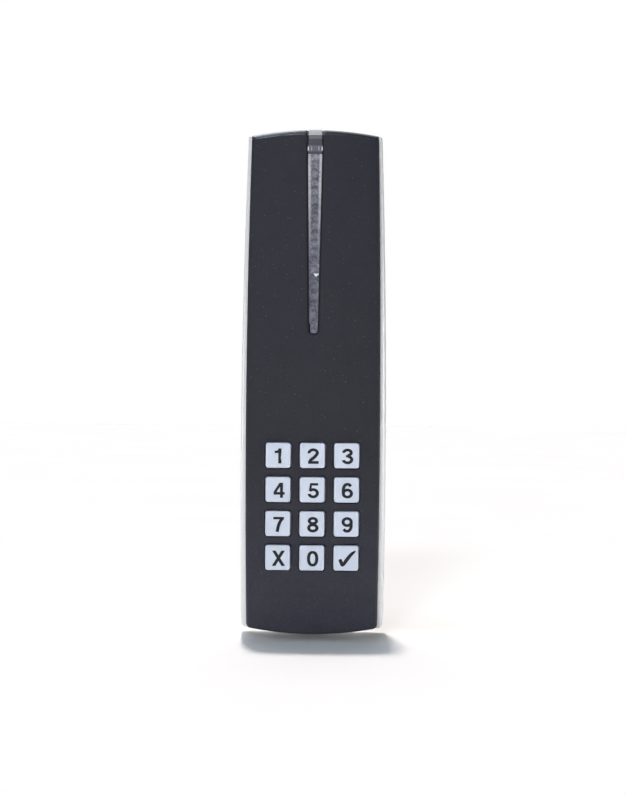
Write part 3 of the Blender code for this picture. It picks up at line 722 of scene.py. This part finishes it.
def build_cover():
    outer = outline(cover_half_w, HALF, CORNER_TOP, CORNER_BOTTOM)
    normals = loop_normals(outer)
    points, edges = [], []

    def add_loop(loop, keep=None):
        start = {}
        for i, p in enumerate(loop):
            if keep is None or keep[i]:
                start[i] = len(points)
                points.append(p)
        n = len(loop)
        for i in range(n):
            j = (i + 1) % n
            if i in start and j in start:
                edges.append((start[i], start[j]))

    add_loop(outer)
    for ang in (18, 36, 54, 72, 90):
        s = FRONT_FILLET * (1 - math.cos(math.radians(ang)))
        ring = outer + normals * s
        add_loop(ring, loop_distance(ring, outer) > s - 2e-3)
    band = outline(lambda y: cover_half_w(y) - WALL, HALF - WALL, 0.1, 0.3)
    add_loop(band)
    hole_r = 0.22
    steps = [hole_r * (1 - math.cos(math.radians(a))) for a in (30, 60, 90)]
    holes = [rounded_rect(kx, ky, KEY_OPENING, KEY_OPENING, 1.2) for _, kx, ky in KEYS]
    for (_, kx, ky), hole in zip(KEYS, holes):
        add_loop(hole)
        for s in steps:
            add_loop(rounded_rect(kx, ky, KEY_OPENING + 2 * s, KEY_OPENING + 2 * s, 1.2 + s))
    slot = slot_loop(0.0)
    add_loop(slot)
    ledge = slot_loop(0.04 - PIPE_GAP)
    add_loop(ledge)
    for s in steps:
        add_loop(slot_loop(s))
    gx, gy = np.meshgrid(np.arange(-19.2, 19.3, 1.6), np.arange(-74.0, 74.1, 1.6))
    grid = np.stack([gx.ravel(), gy.ravel()], axis=1)
    ok = inside_loop(grid, outer) & (loop_distance(grid, outer) > FRONT_FILLET + 0.35)
    ok &= below_top(grid) > TOP_FILLET + 0.3
    ok &= loop_distance(grid, band) > 0.3
    for hole in holes + [slot]:
        ok &= loop_distance(grid, hole) > hole_r + 0.3
    points.extend(grid[ok])
    for s in (1.05, 1.26, TOP_FILLET):
        gx = np.arange(-18.0, 18.01, 0.75)
        row = np.stack([gx, HALF - END_ARC * gx ** 2 - s], axis=1)
        ok = (loop_distance(row, outer) > FRONT_FILLET + 0.1) & ~inside_loop(row, slot)
        ok &= loop_distance(row, slot) > hole_r + 0.2
        points.extend(row[ok])

    got = delaunay_2d_cdt([Vector(p) for p in points], edges, [], 0, 1e-5)
    xy = np.array([tuple(v) for v in got[0]])
    tris = [tuple(f) for f in got[2]]
    mid = np.array([xy[list(f)].mean(0) for f in tris])
    in_outer = inside_loop(mid, outer)
    in_band = ~inside_loop(mid, band)
    in_slot = inside_loop(mid, slot)
    in_ledge = in_slot & ~inside_loop(mid, ledge)
    in_hole = np.zeros(len(mid), bool)
    for hole in holes:
        in_hole |= inside_loop(mid, hole)
    zone_of = []
    for k in range(len(tris)):
        if not in_outer[k] or in_hole[k]:
            zone_of.append(None)
        elif in_slot[k]:
            zone_of.append("bridge" if in_band[k] else "ledge" if in_ledge[k] else None)
        else:
            zone_of.append("band" if in_band[k] else "main")
    x, y = xy[:, 0], xy[:, 1]
    front = cover_front(x, y) - np.maximum(
        fillet_drop(loop_distance(xy, outer), FRONT_FILLET),
        fillet_drop(below_top(xy), TOP_FILLET))
    for hole in holes + [slot]:
        front = front - fillet_drop(loop_distance(xy, hole), hole_r)
    levels = {
        "front": front,
        "bridge": np.full(len(xy), PIPE_LIP - 0.3),
        "ledge": cover_front(x, y) - 0.75,
        "inside": cover_front(x, y) - FRONT_WALL,
        "rim": cover_rim(y),
    }
    zones = {"main": ("front", "inside"), "band": ("front", "rim"),
             "bridge": ("bridge", "rim"), "ledge": ("ledge", "inside")}
    verts, faces = zoned_solid(xy, tris, zone_of, levels, zones)
    ob = make("front_shell", verts, faces, M["cover_charcoal"],
              replaces=["front_cover"], angle=38)
    # the rounded top edge is smoother than the grained face
    ob.data.materials.append(M["cover_edge"])
    rim = below_top(mid) < TOP_FILLET
    kept = [k for k in range(len(tris)) if zone_of[k] is not None]
    for n, k in enumerate(kept):
        if rim[k]:
            ob.data.polygons[2 * n].material_index = 1
    return ob


build_cover()


# --------------------------------------------------------------- rear housing
def loft(rings):
    """Faces between closed rings of equal length; the first and last are capped."""
    n = len(rings[0])
    verts = np.concatenate(rings)
    faces = []
    for k in range(len(rings) - 1):
        a, b = k * n, (k + 1) * n
        for i in range(n):
            j = (i + 1) % n
            faces.append((a + i, a + j, b + j, b + i))
    faces.append(tuple(range(n))[::-1])
    faces.append(tuple((len(rings) - 1) * n + i for i in range(n)))
    return verts, faces


def build_housing():
    rings = []

    def ring(width, inset, depth, end=0.0):
        lp = outline(lambda y: width(y) - inset, HALF - max(inset, end),
                     max(CORNER_TOP - inset, 0.12), max(CORNER_BOTTOM - inset, 0.12),
                     HOUSING_ARC)
        x, y = lp[:, 0], lp[:, 1]
        rings.append(place(x, y, depth(y) if callable(depth) else np.full(len(x), depth)))

    def slope(y, a):
        """The rounded slope from the rim out to the side wall."""
        c = math.radians(a)
        side = housing_w_at(y, shoulder_depth(y))
        return cover_half_w(y) + (side - cover_half_w(y)) * math.sin(c)

    ring(lambda y: housing_w_at(y, FLOOR_FRONT), WALL, FLOOR_FRONT)
    ring(lambda y: housing_w_at(y, FLOOR_FRONT + 0.01), WALL, FLOOR_FRONT + 0.01)
    ring(cover_half_w, WALL, housing_rim)
    ring(cover_half_w, 0.25, housing_rim)
    for a in (0, 12, 24, 36, 48, 60, 70, 80, 90):
        c = math.radians(a)
        ring(lambda y, a=a: slope(y, a), 0.0,
             lambda y, c=c: housing_rim(y) - SHOULDER * (1 - math.cos(c)),
             0.2 * (1 - math.sin(c)))
    low = HOUSING_RIM + 0.3
    for k in range(1, 7):
        t = k / 6.0
        ring(lambda y, t=t: housing_w_at(y, shoulder_depth(y) + (low - shoulder_depth(y)) * t),
             0.0, lambda y, t=t: shoulder_depth(y) + (low - shoulder_depth(y)) * t)
    for a in (30, 60, 90):
        c = math.radians(a)
        ring(lambda y: housing_w_at(y, low), 0.3 * (1 - math.cos(c)),
             low - 0.3 * math.sin(c))
    ring(housing_half_w, WALL + 0.1, HOUSING_RIM)
    ring(housing_half_w, WALL + 0.1, FLOOR_BACK)
    verts, faces = loft(rings)
    ob = make("rear_shell", verts, faces, M["housing_silver"],
              replaces=["rear_housing"], angle=38)
    cut(ob, [box_tool(-5.0, 5.0, -73.6, -70.6, FLOOR_FRONT - 0.4, 10.0)], "UNION")
    cut(ob, [rod_tool(0, CABLE_Y, 1.0, 7.0, 4.7),
             rod_tool(0, LOCK_DEPTH, -78.0, -73.0, 2.5, upright=True),
             rod_tool(0, LOCK_DEPTH, -78.0, -69.0, 1.4, upright=True),
             box_tool(-4.9, 4.9, -70.55, -68.0, 1.0, 8.0),
             box_tool(-4.4, 4.4, 65.6, 70.4, 1.0, 8.0)])
    return ob


build_housing()


# ----------------------------------------------------------------- light pipe
def build_pipe():
    """A tapered bar: rounded shoulders, a clip collar near the top, a small nose."""
    nose = 2.9
    ys = list(PIPE_BOTTOM + 0.5 * (1 - np.cos(np.linspace(0.05, math.pi / 2, 8))))
    ys += list(np.linspace(PIPE_BOTTOM + 0.6, PIPE_BOTTOM + nose - 0.1, 8))
    ys += list(np.linspace(PIPE_BOTTOM + nose, 66.0, 130))
    ys += list(np.linspace(66.3, 73.6, 44))
    top_r = 0.9
    ys += [HALF - top_r + top_r * math.sin(a) for a in np.linspace(0.0, math.pi / 2 - 0.05, 9)]
    ys = np.array(sorted(set(np.round(ys, 5))))
    rings = []
    for y in ys:
        wide = float(pipe_half_w(y))
        left, right = wide, wide
        if y < PIPE_BOTTOM + nose - 0.05:
            left -= 0.26
            right -= 0.07
        end = max(0.0, 1.0 - (y - PIPE_BOTTOM) / 0.5)
        pull = 0.5 * (1 - math.sqrt(max(0.0, 1 - end * end)))
        left -= pull
        right -= pull
        collar = math.exp(-((y - 69.0) / 0.66) ** 4)
        waist = math.exp(-((y - 67.75) / 0.42) ** 4)
        side = 0.27 * collar - 0.08 * waist - (0.06 if y > 69.9 else 0.0)
        left += side
        right += side
        top = float(front_depth(y)) + PIPE_PROUD
        top -= 0.12 * waist + 0.10 * math.exp(-((y - 71.6) / 1.3) ** 4)
        if y > HALF - top_r:
            k = (y - HALF + top_r) / top_r
            top -= top_r * (1 - math.sqrt(max(0.0, 1 - k * k)))
        top -= 0.3 * (1 - math.sqrt(max(0.0, 1 - end * end)))
        back = PIPE_LIP if y > 72.3 else float(front_depth(y)) - 3.0
        r = 0.30
        prof = [(-left, back), (-left, back + 0.6), (-left, top - r - 0.4), (-left, top - r)]
        for a in (20, 40, 60, 80):
            c = math.radians(a)
            prof.append((-left + r - r * math.cos(c), top - r + r * math.sin(c)))
        for k in range(9):
            t = k / 8.0
            x = -left + r + (left + right - 2 * r) * t
            prof.append((x, top + 0.04 * (1 - (2 * t - 1) ** 2)))
        for a in (80, 60, 40, 20):
            c = math.radians(a)
            prof.append((right - r + r * math.cos(c), top - r + r * math.sin(c)))
        prof += [(right, top - r), (right, top - r - 0.4), (right, back + 0.6), (right, back)]
        for k in range(1, 6):
            prof.append((right - (left + right) * k / 6.0, back))
        prof = np.array(prof)
        yy = np.full(len(prof), y)
        if y > 73.0:
            yy = yy - END_ARC * prof[:, 0] ** 2
        rings.append(place(prof[:, 0], yy, prof[:, 1]))
    verts, faces = loft(rings)
    return make("light_pipe_bar", verts, faces, M["light_pipe"],
                replaces=["light_pipe"], angle=40)


build_pipe()


# ---------------------------------------------------------------------- keys
def build_key(name, kx, ky):
    face = float(cover_front(kx, ky))
    top = face + KEY_PROUD - 0.06
    under = face - FRONT_WALL - 0.8
    rings = []

    def ring(size, r, d, dome=0.0):
        lp = rounded_rect(kx - 0.03, ky, size - 0.10, size, r, n=7, straight=5)
        rings.append(place(lp[:, 0], lp[:, 1], np.full(len(lp), d + dome)))

    ring(KEY_STEM, 0.6, KEY_STEM_END)
    ring(KEY_STEM, 0.6, under - 1.0)
    ring(KEY_FLANGE, 1.1, under - 1.0)
    ring(KEY_FLANGE, 1.1, under)
    ring(KEY_SIZE, 0.7, under)
    ring(KEY_SIZE, 0.7, face - 0.4)
    r = 0.28
    for a in (0, 18, 36, 54, 72, 90):
        c = math.radians(a)
        ring(KEY_SIZE - 2 * r * (1 - math.cos(c)), 0.7 - r * (1 - math.cos(c)) * 0.8,
             top - r + r * math.sin(c))
    for size, dome in ((6.2, 0.008), (5.0, 0.020), (3.4, 0.032), (1.6, 0.040)):
        ring(size, 0.6 * size / 6.2, top, dome)
    verts, faces = loft(rings)
    return make("key_cap_" + name, verts, faces, M["key_silicone"],
                body="key_%s_body" % name,
                replaces=["key_" + name], angle=40)


for name, kx, ky in KEYS:
    build_key(name, kx, ky)

# ------------------------------------------------------------------- legends
STEM, BAR = 0.88, 0.78      # upright and level stroke widths
LEGEND_SCALE = 1.045
LEGEND_SHIFT = {"1": 0.07, "4": 0.35, "5": 0.32, "enter": 0.22}


def arc_band(cx, cy, rx, ry, a0, a1, n=36, power=2.0):
    """A curved stroke on an ellipse, as a polygon."""
    out, back = [], []
    for k in range(n + 1):
        a = math.radians(a0 + (a1 - a0) * k / n)
        c, s = math.cos(a), math.sin(a)
        f = (abs(c) ** power + abs(s) ** power) ** (-1.0 / power)
        c, s = c * f, s * f
        out.append((cx + (rx + STEM / 2) * c, cy + (ry + BAR / 2) * s))
        back.append((cx + (rx - STEM / 2) * c, cy + (ry - BAR / 2) * s))
    return out + back[::-1]


def ring_bands(cx, cy, rx, ry, power=2.0):
    return [arc_band(cx, cy, rx, ry, -5, 185, 40, power),
            arc_band(cx, cy, rx, ry, 175, 365, 40, power)]


def stroke(points, width, n=28):
    """A stroke of even width along a smooth quadratic curve."""
    p0, p1, p2 = (np.array(p) for p in points)
    left, right = [], []
    for k in range(n + 1):
        t = k / n
        p = (1 - t) ** 2 * p0 + 2 * t * (1 - t) * p1 + t * t * p2
        v = 2 * (1 - t) * (p1 - p0) + 2 * t * (p2 - p1)
        nrm = np.array([-v[1], v[0]]) / np.linalg.norm(v)
        left.append(tuple(p + nrm * width / 2))
        right.append(tuple(p - nrm * width / 2))
    return left + right[::-1]


def bar(x0, x1, y0, y1):
    return [(x0, y0), (x1, y0), (x1, y1), (x0, y1)]


def smooth_loop(points, n=6):
    """A closed smooth curve through the points."""
    p = np.array(points, float)
    out = []
    for i in range(len(p)):
        a, b, c, d = p[i - 1], p[i], p[(i + 1) % len(p)], p[(i + 2) % len(p)]
        for k in range(n):
            t = k / n
            out.append(tuple(0.5 * (2 * b + (c - a) * t + (2 * a - 5 * b + 4 * c - d) * t * t
                                    + (3 * b - a - 3 * c + d) * t ** 3)))
    return out


def grown(loop, by):
    """A closed loop moved outwards by a constant distance."""
    p = np.array(loop, float)
    t = np.roll(p, -1, axis=0) - np.roll(p, 1, axis=0)
    n = np.stack([t[:, 1], -t[:, 0]], axis=1)
    n = n / np.linalg.norm(n, axis=1, keepdims=True)
    area = (p[:, 0] * np.roll(p[:, 1], -1) - np.roll(p[:, 0], -1) * p[:, 1]).sum()
    return [tuple(q) for q in p + n * (by if area > 0 else -by)]


def six():
    return (ring_bands(1.525, 1.33, 1.135, 0.99)
            + [arc_band(1.545, 2.12, 1.155, 1.79, 40, 205, 40, 2.2)])


def glyph(name):
    """Strokes of one legend in a box about 3.05 wide and 4.25 high."""
    if name == "0":
        return ring_bands(1.525, 2.125, 1.145, 1.785, 2.3), 3.05
    if name == "1":
        flag = [(0.30, 2.90), (1.62, 2.90), (1.62, 4.20), (1.40, 4.20), (1.30, 3.92),
                (1.12, 3.72), (0.88, 3.60), (0.60, 3.565), (0.30, 3.56)]
        return [bar(1.32, 2.21, 0.0, 4.20), flag], 2.75
    if name == "2":
        return [arc_band(1.50, 3.06, 1.135, 0.86, 190, -38, 40),
                stroke([(2.42, 2.58), (2.02, 1.92), (1.30, 1.46)], STEM),
                stroke([(1.55, 1.62), (0.62, 1.06), (0.46, 0.30)], STEM),
                bar(0.06, 3.02, 0.0, BAR)], 3.05
    if name == "3":
        return [arc_band(1.48, 3.17, 1.03, 0.745, 185, -90, 40),
                arc_band(1.50, 1.22, 1.165, 0.88, 90, -172, 40),
                bar(1.02, 1.62, 1.86, 2.50)], 3.05
    if name == "4":
        return [bar(1.78, 2.60, 0.0, 4.20), bar(0.0, 3.08, 0.86, 1.60),
                [(0.0, 0.86), (0.74, 0.86), (0.74, 1.50), (1.95, 3.32), (1.95, 4.20),
                 (1.62, 4.20), (0.0, 1.66)]], 3.08
    if name == "5":
        return [bar(0.62, 2.86, 3.50, 4.18),
                [(0.62, 4.18), (1.20, 4.18), (0.98, 2.12), (0.26, 2.02)],
                arc_band(1.49, 1.36, 1.165, 1.02, 146, -170, 44)], 3.05
    if name == "6":
        return six(), 3.05
    if name == "7":
        return [bar(0.02, 3.02, 3.50, 4.18),
                stroke([(2.66, 3.86), (1.44, 2.62), (1.16, 0.0)], STEM)], 3.05
    if name == "8":
        return (ring_bands(1.525, 3.17, 1.00, 0.725)
                + ring_bands(1.525, 1.21, 1.15, 0.87)), 3.05
    if name == "9":
        return [[(3.05 - x, 4.25 - y) for x, y in s] for s in six()], 3.05
    if name == "cancel":
        return [[(-0.04, 0.0), (0.98, 0.0), (3.64, 4.28), (2.64, 4.28)],
                [(3.70, 0.0), (2.68, 0.0), (0.02, 4.28), (1.02, 4.28)]], 3.66
    tick = [(-2.25, -0.64), (-1.65, -0.38), (-1.34, -0.98), (-1.05, -1.37), (-0.61, -0.64),
            (0.04, 0.20), (0.82, 1.11), (1.60, 1.74), (2.50, 2.08), (2.14, 1.58),
            (1.60, 0.98), (0.95, 0.14), (0.30, -0.72), (-0.35, -1.63), (-0.95, -2.23),
            (-1.39, -2.28), (-1.73, -2.02), (-1.99, -1.37)]
    tick = smooth_loop([(x + 2.47, y + 2.33) for x, y in tick])
    return [grown(tick, 0.14)], 4.94


def build_legend(name, kx, ky):
    strokes, width = glyph(name)
    points, faces = [], []
    for s in strokes:
        area = sum(a[0] * b[1] - b[0] * a[1] for a, b in zip(s, s[1:] + s[:1]))
        if area < 0:
            s = s[::-1]
        faces.append(list(range(len(points), len(points) + len(s))))
        points.extend(s)
    got = delaunay_2d_cdt([Vector(p) for p in points], [], faces, 0, 1e-5)
    xy = np.array([tuple(v) for v in got[0]])
    tris = [tuple(f) for f, src in zip(got[2], got[5]) if src]
    used = sorted({p for f in tris for p in f})
    renum = {p: k for k, p in enumerate(used)}
    tris = [tuple(renum[p] for p in f) for f in tris]
    xy = xy[used]
    # legends stand a little right of and below the middle of the key
    size = 1.0 if name == "enter" else LEGEND_SCALE
    x = (xy[:, 0] - width / 2) * size + kx + LEGEND_SHIFT.get(name, 0.25)
    y = (xy[:, 1] - 2.12) * size + ky - 0.18
    flat = np.stack([x, y], axis=1)
    key_top = float(cover_front(kx, ky)) + KEY_PROUD - 0.06
    # the key's top is slightly domed, and the print lies on it
    off = np.maximum(np.abs(x - kx), np.abs(y - ky))
    dome = np.interp(off, [0.0, 0.8, 1.7, 2.5, 3.1], [0.040, 0.040, 0.032, 0.020, 0.008])
    levels = {"top": key_top + dome + 0.012, "under": key_top + dome - 0.03}
    verts, faces = zoned_solid(flat, tris, ["z"] * len(tris), levels, {"z": ("top", "under")})
    return make("legend_" + name, verts, faces, M["ink"], body="key_%s_body" % name,
                angle=40)


for name, kx, ky in KEYS:
    build_legend(name, kx, ky)


# ------------------------------------------------------- back and base details
def turned(profile, steps):
    """Closed rings of a profile of (radius, height), in millimetres."""
    rings = []
    for r, h in profile:
        a = np.linspace(0, 2 * math.pi, steps, endpoint=False)
        rings.append(np.stack([r * np.cos(a), r * np.sin(a), np.full(steps, h)], axis=1))
    return rings


def build_lock_screw():
    """Pan-head screw standing up into the base, with a cross recess."""
    prof = [(0.05, -66.85), (0.6, -67.1), (1.0, -67.6)]
    for k in range(18):
        y = -67.9 - 0.28 * k
        prof += [(1.02, y), (0.86, y - 0.14)]
    prof += [(1.0, -73.1), (2.1, -73.1), (2.2, -73.2), (2.2, -74.0)]
    for a in (15, 30, 45, 60, 75, 90):
        c = math.radians(a)
        prof.append((2.2 - 0.75 * (1 - math.cos(c)), -74.0 - 0.7 * math.sin(c)))
    prof.append((0.6, -74.7))
    rings = turned(prof, 40)
    rings = [np.stack([g[:, 0], g[:, 1] - LOCK_DEPTH, g[:, 2]], axis=1) * 0.001 for g in rings]
    verts, faces = loft(rings)
    ob = make("lock_screw_head", verts, faces, M["screw_steel"],
              replaces=["lock_screw"], angle=35)
    cut(ob, [box_tool(-1.25, 1.25, -76.0, -73.7, LOCK_DEPTH - 0.24, LOCK_DEPTH + 0.24),
             box_tool(-0.24, 0.24, -76.0, -73.7, LOCK_DEPTH - 1.25, LOCK_DEPTH + 1.25)])


def build_grommet():
    """Rubber inlet with rounded flanges on both sides of the housing's floor."""
    prof = []

    def rounded(r_in, r_out, d0, d1, rad):
        for a in (0, 30, 60, 90):
            c = math.radians(a)
            prof.append((r_out - rad + rad * math.sin(c), d1 - rad + rad * math.cos(c)))
        for a in (0, 30, 60, 90):
            c = math.radians(a)
            prof.append((r_out - rad + rad * math.cos(c), d0 + rad - rad * math.sin(c)))

    prof.append((3.8, 6.0))
    rounded(3.5, 6.0, 4.5, 6.0, 0.5)
    prof += [(4.4, 4.5), (4.4, 2.5)]
    rounded(3.5, 6.0, 0.9, 2.5, 0.5)
    prof += [(3.8, 0.9), (3.58, 1.0), (3.5, 1.25), (3.5, 5.65), (3.58, 5.9)]
    rings = turned(prof, 64)
    rings = [np.stack([g[:, 0], -g[:, 2], g[:, 1] + CABLE_Y], axis=1) * 0.001 for g in rings]
    n = 64
    verts = np.concatenate(rings)
    faces = []
    for k in range(len(rings)):
        a, b = k * n, ((k + 1) % len(rings)) * n
        for i in range(n):
            j = (i + 1) % n
            faces.append((a + i, a + j, b + j, b + i))
    make("grommet_ring", verts, faces, M["rubber_black"],
         replaces=["cable_grommet"], angle=40)


def build_plate():
    """Moulded wall plate: rim, ribs and bosses on the wall side, lug and hook."""
    outer = outline(lambda y: housing_half_w(y) - WALL - 0.5, HALF - WALL - 0.4, 0.9, 0.9)
    points, edges = [], []

    def add_loop(loop):
        n, k = len(points), len(loop)
        points.extend(loop)
        edges.extend((n + i, n + (i + 1) % k) for i in range(k))

    def circle(y, r, n=48):
        a = np.linspace(0, 2 * math.pi, n, endpoint=False)
        return np.stack([r * np.cos(a), y + r * np.sin(a)], axis=1)

    add_loop(outer)
    for s in (0.12, 0.4):
        add_loop(outer + loop_normals(outer) * s)
    holes = [circle(CABLE_Y, 6.7, 72)] + [circle(y, 2.25) for y in WALL_SCREWS]
    bosses = [circle(CABLE_Y, 8.6, 72)] + [circle(y, 5.4) for y in WALL_SCREWS]
    pockets = [rounded_rect(sx * 9.55, 11.4 * k, 14.5, 9.6, 1.0)
               for k in range(-5, 6) for sx in (-1, 1)]
    for loop in holes + bosses + pockets:
        add_loop(loop)
    got = delaunay_2d_cdt([Vector(q) for q in points], edges, [], 0, 1e-5)
    xy = np.array([tuple(v) for v in got[0]])
    tris = [tuple(f) for f in got[2]]
    mid = np.array([xy[list(f)].mean(0) for f in tris])

    def within(loops):
        hit = np.zeros(len(mid), bool)
        for loop in loops:
            hit |= inside_loop(mid, loop)
        return hit

    solid_part = inside_loop(mid, outer) & ~within(holes)
    pocket = within(pockets) & ~within(bosses)
    zone_of = ["pocket" if pocket[k] else "full" if solid_part[k] else None
               for k in range(len(tris))]
    flat = np.ones(len(xy))
    levels = {"front": flat * PLATE_THICK, "pocket": flat * 0.9,
              "back": fillet_drop(loop_distance(xy, outer), 0.4)}
    verts, faces = zoned_solid(xy, tris, zone_of, levels,
                               {"full": ("front", "back"), "pocket": ("front", "pocket")})
    ob = make("plate_moulding", verts, faces, M["plate_black"],
              replaces=["wall_plate"], angle=35)
    cones = []
    for y in WALL_SCREWS:
        bm = bmesh.new()
        bmesh.ops.create_cone(bm, cap_ends=True, segments=48, radius1=0.00395,
                              radius2=0.00215, depth=0.0018,
                              matrix=Matrix.Translation((0.0, -0.0014, y * 0.001))
                              @ Matrix.Rotation(-math.pi / 2, 4, "X"))
        cones.append(tool_mesh(bm))
    cut(ob, cones)
    cut(ob, [box_tool(-4.5, 4.5, -70.2, -68.4, 1.0, 9.5),
             box_tool(-4.0, 4.0, 66.0, 67.6, 1.0, 6.2),
             box_tool(-4.0, 4.0, 66.5, 70.0, FLOOR_FRONT + 0.3, 6.2)], "UNION")
    cut(ob, [rod_tool(0.0, LOCK_DEPTH, -72.3, -66.3, 1.3, True)])


build_lock_screw()
build_grommet()
build_plate()

# ---------------------------------------------------------- floor, light, view
FLOOR_DROP = 2.1        # the curved base stands a little clear of the floor
bm = bmesh.new()
bmesh.ops.create_grid(bm, x_segments=8, y_segments=8, size=3.0)
me = bpy.data.meshes.new("floor")
bm.to_mesh(me)
bm.free()
floor = bpy.data.objects.new("floor", me)
floor.location = (0.0, 0.0, -HALF * 0.001 - FLOOR_DROP * 0.001)
bpy.context.scene.collection.objects.link(floor)
floor_mat, t, p = node_material("floor_white")
n = noise(t, object_coords(t), 6.0, 2.0)
t.links.new(ramp(t, n, [(0.3, (0.86, 0.86, 0.86)), (0.7, (0.88, 0.88, 0.88))]),
            p.inputs["Base Color"])
p.inputs["Roughness"].default_value = 0.9
p.inputs["Specular IOR Level"].default_value = 0.1
me.materials.append(floor_mat)


def far_light(name, azimuth, elevation, spread, strength, colour):
    """A far, soft light; azimuth from straight in front, positive to the right."""
    data = bpy.data.lights.new(name, "SUN")
    data.energy = strength
    data.angle = math.radians(spread)
    data.color = colour
    ob = bpy.data.objects.new(name, data)
    az, el = math.radians(azimuth), math.radians(elevation)
    source = Vector((math.sin(az) * math.cos(el), -math.cos(az) * math.cos(el), math.sin(el)))
    ob.rotation_euler = (-source).to_track_quat("-Z", "Y").to_euler()
    ob.location = source * 2.0
    bpy.context.scene.collection.objects.link(ob)
    return ob


def side_light(name, place_at, aim_at, reach, power, colour):
    """A soft lamp at one side; its beam fades to nothing at reach from the aim."""
    data = bpy.data.lights.new(name, "SPOT")
    data.energy = power
    data.color = colour
    data.shadow_soft_size = 0.16
    data.spot_blend = 1.0
    ob = bpy.data.objects.new(name, data)
    beam = Vector(aim_at) - Vector(place_at)
    data.spot_size = 2.0 * math.atan(reach / beam.length)
    ob.rotation_euler = beam.to_track_quat("-Z", "Y").to_euler()
    ob.location = place_at
    bpy.context.scene.collection.objects.link(ob)
    return ob


top = far_light("top_soft", -170.0, 80.0, 3.0, 2.28, (1.0, 0.93, 0.878))
top.visible_glossy = False      # no hard sparkle along the upper edges
far_light("back_soft", -174.0, 58.0, 56.0, 0.95, (0.95, 0.97, 1.0))
edge = far_light("edge_soft", -156.0, 58.0, 20.0, 0.75, (0.76, 0.86, 1.0))
edge.visible_diffuse = False    # only draws the pale line along the upper edge
far_light("front_left_soft", -12.0, 33.0, 10.0, 0.72, (0.82, 0.905, 1.0))
far_light("high_left_soft", -50.0, 72.0, 18.0, 0.40, (0.76, 0.875, 1.0))
far_light("front_soft", -4.0, 6.0, 30.0, 0.68, (0.79, 0.885, 1.0))
side_light("left_soft", (-0.88, -0.24, 0.05), (-0.02, -0.01, 0.020), 0.095, 38.0, (1.0, 0.97, 0.94))
side_light("right_soft", (0.88, -0.16, 0.03), (0.02, -0.01, -0.006), 0.085, 60.0, (1.0, 0.98, 0.96))

world = bpy.data.worlds.new("studio")
world.use_nodes = True
wt = world.node_tree
wt.nodes.clear()
w_out = wt.nodes.new("ShaderNodeOutputWorld")
w_mix = wt.nodes.new("ShaderNodeMixShader")
w_lit = wt.nodes.new("ShaderNodeBackground")
w_seen = wt.nodes.new("ShaderNodeBackground")
w_path = wt.nodes.new("ShaderNodeLightPath")
w_lit.inputs["Color"].default_value = (1.0, 0.93, 0.84, 1.0)
w_lit.inputs["Strength"].default_value = 0.02
w_seen.inputs["Color"].default_value = (1.0, 1.0, 1.0, 1.0)
w_seen.inputs["Strength"].default_value = 1.0
wt.links.new(w_path.outputs["Is Camera Ray"], w_mix.inputs["Fac"])
wt.links.new(w_lit.outputs[0], w_mix.inputs[1])
wt.links.new(w_seen.outputs[0], w_mix.inputs[2])
wt.links.new(w_mix.outputs[0], w_out.inputs["Surface"])
bpy.context.scene.world = world
bpy.context.scene.view_settings.view_transform = "Standard"

# The view: level with a point 70 mm above the base, a hair to the right,
# turned a little about its own axis. Focal length in pixels of a 794 px height.
FOCAL_PX = 1360.7
cam_data = bpy.data.cameras.new("view")
cam_data.sensor_width = 36.0
cam_data.lens = FOCAL_PX / 794.0 * 36.0
cam_data.clip_start = 0.01
cam_data.clip_end = 20.0
cam = bpy.data.objects.new("view", cam_data)
bpy.context.scene.collection.objects.link(cam)
EYE = Vector((0.0063, -0.4186, -0.00503))
AIM = Vector((-0.00018, -0.0186, -0.00503))
turn = (AIM - EYE).to_track_quat("-Z", "Y").to_matrix().to_4x4()
roll = Matrix.Rotation(math.radians(0.43), 4, "Z")
cam.matrix_world = Matrix.Translation(EYE) @ turn @ roll
bpy.context.scene.camera = cam
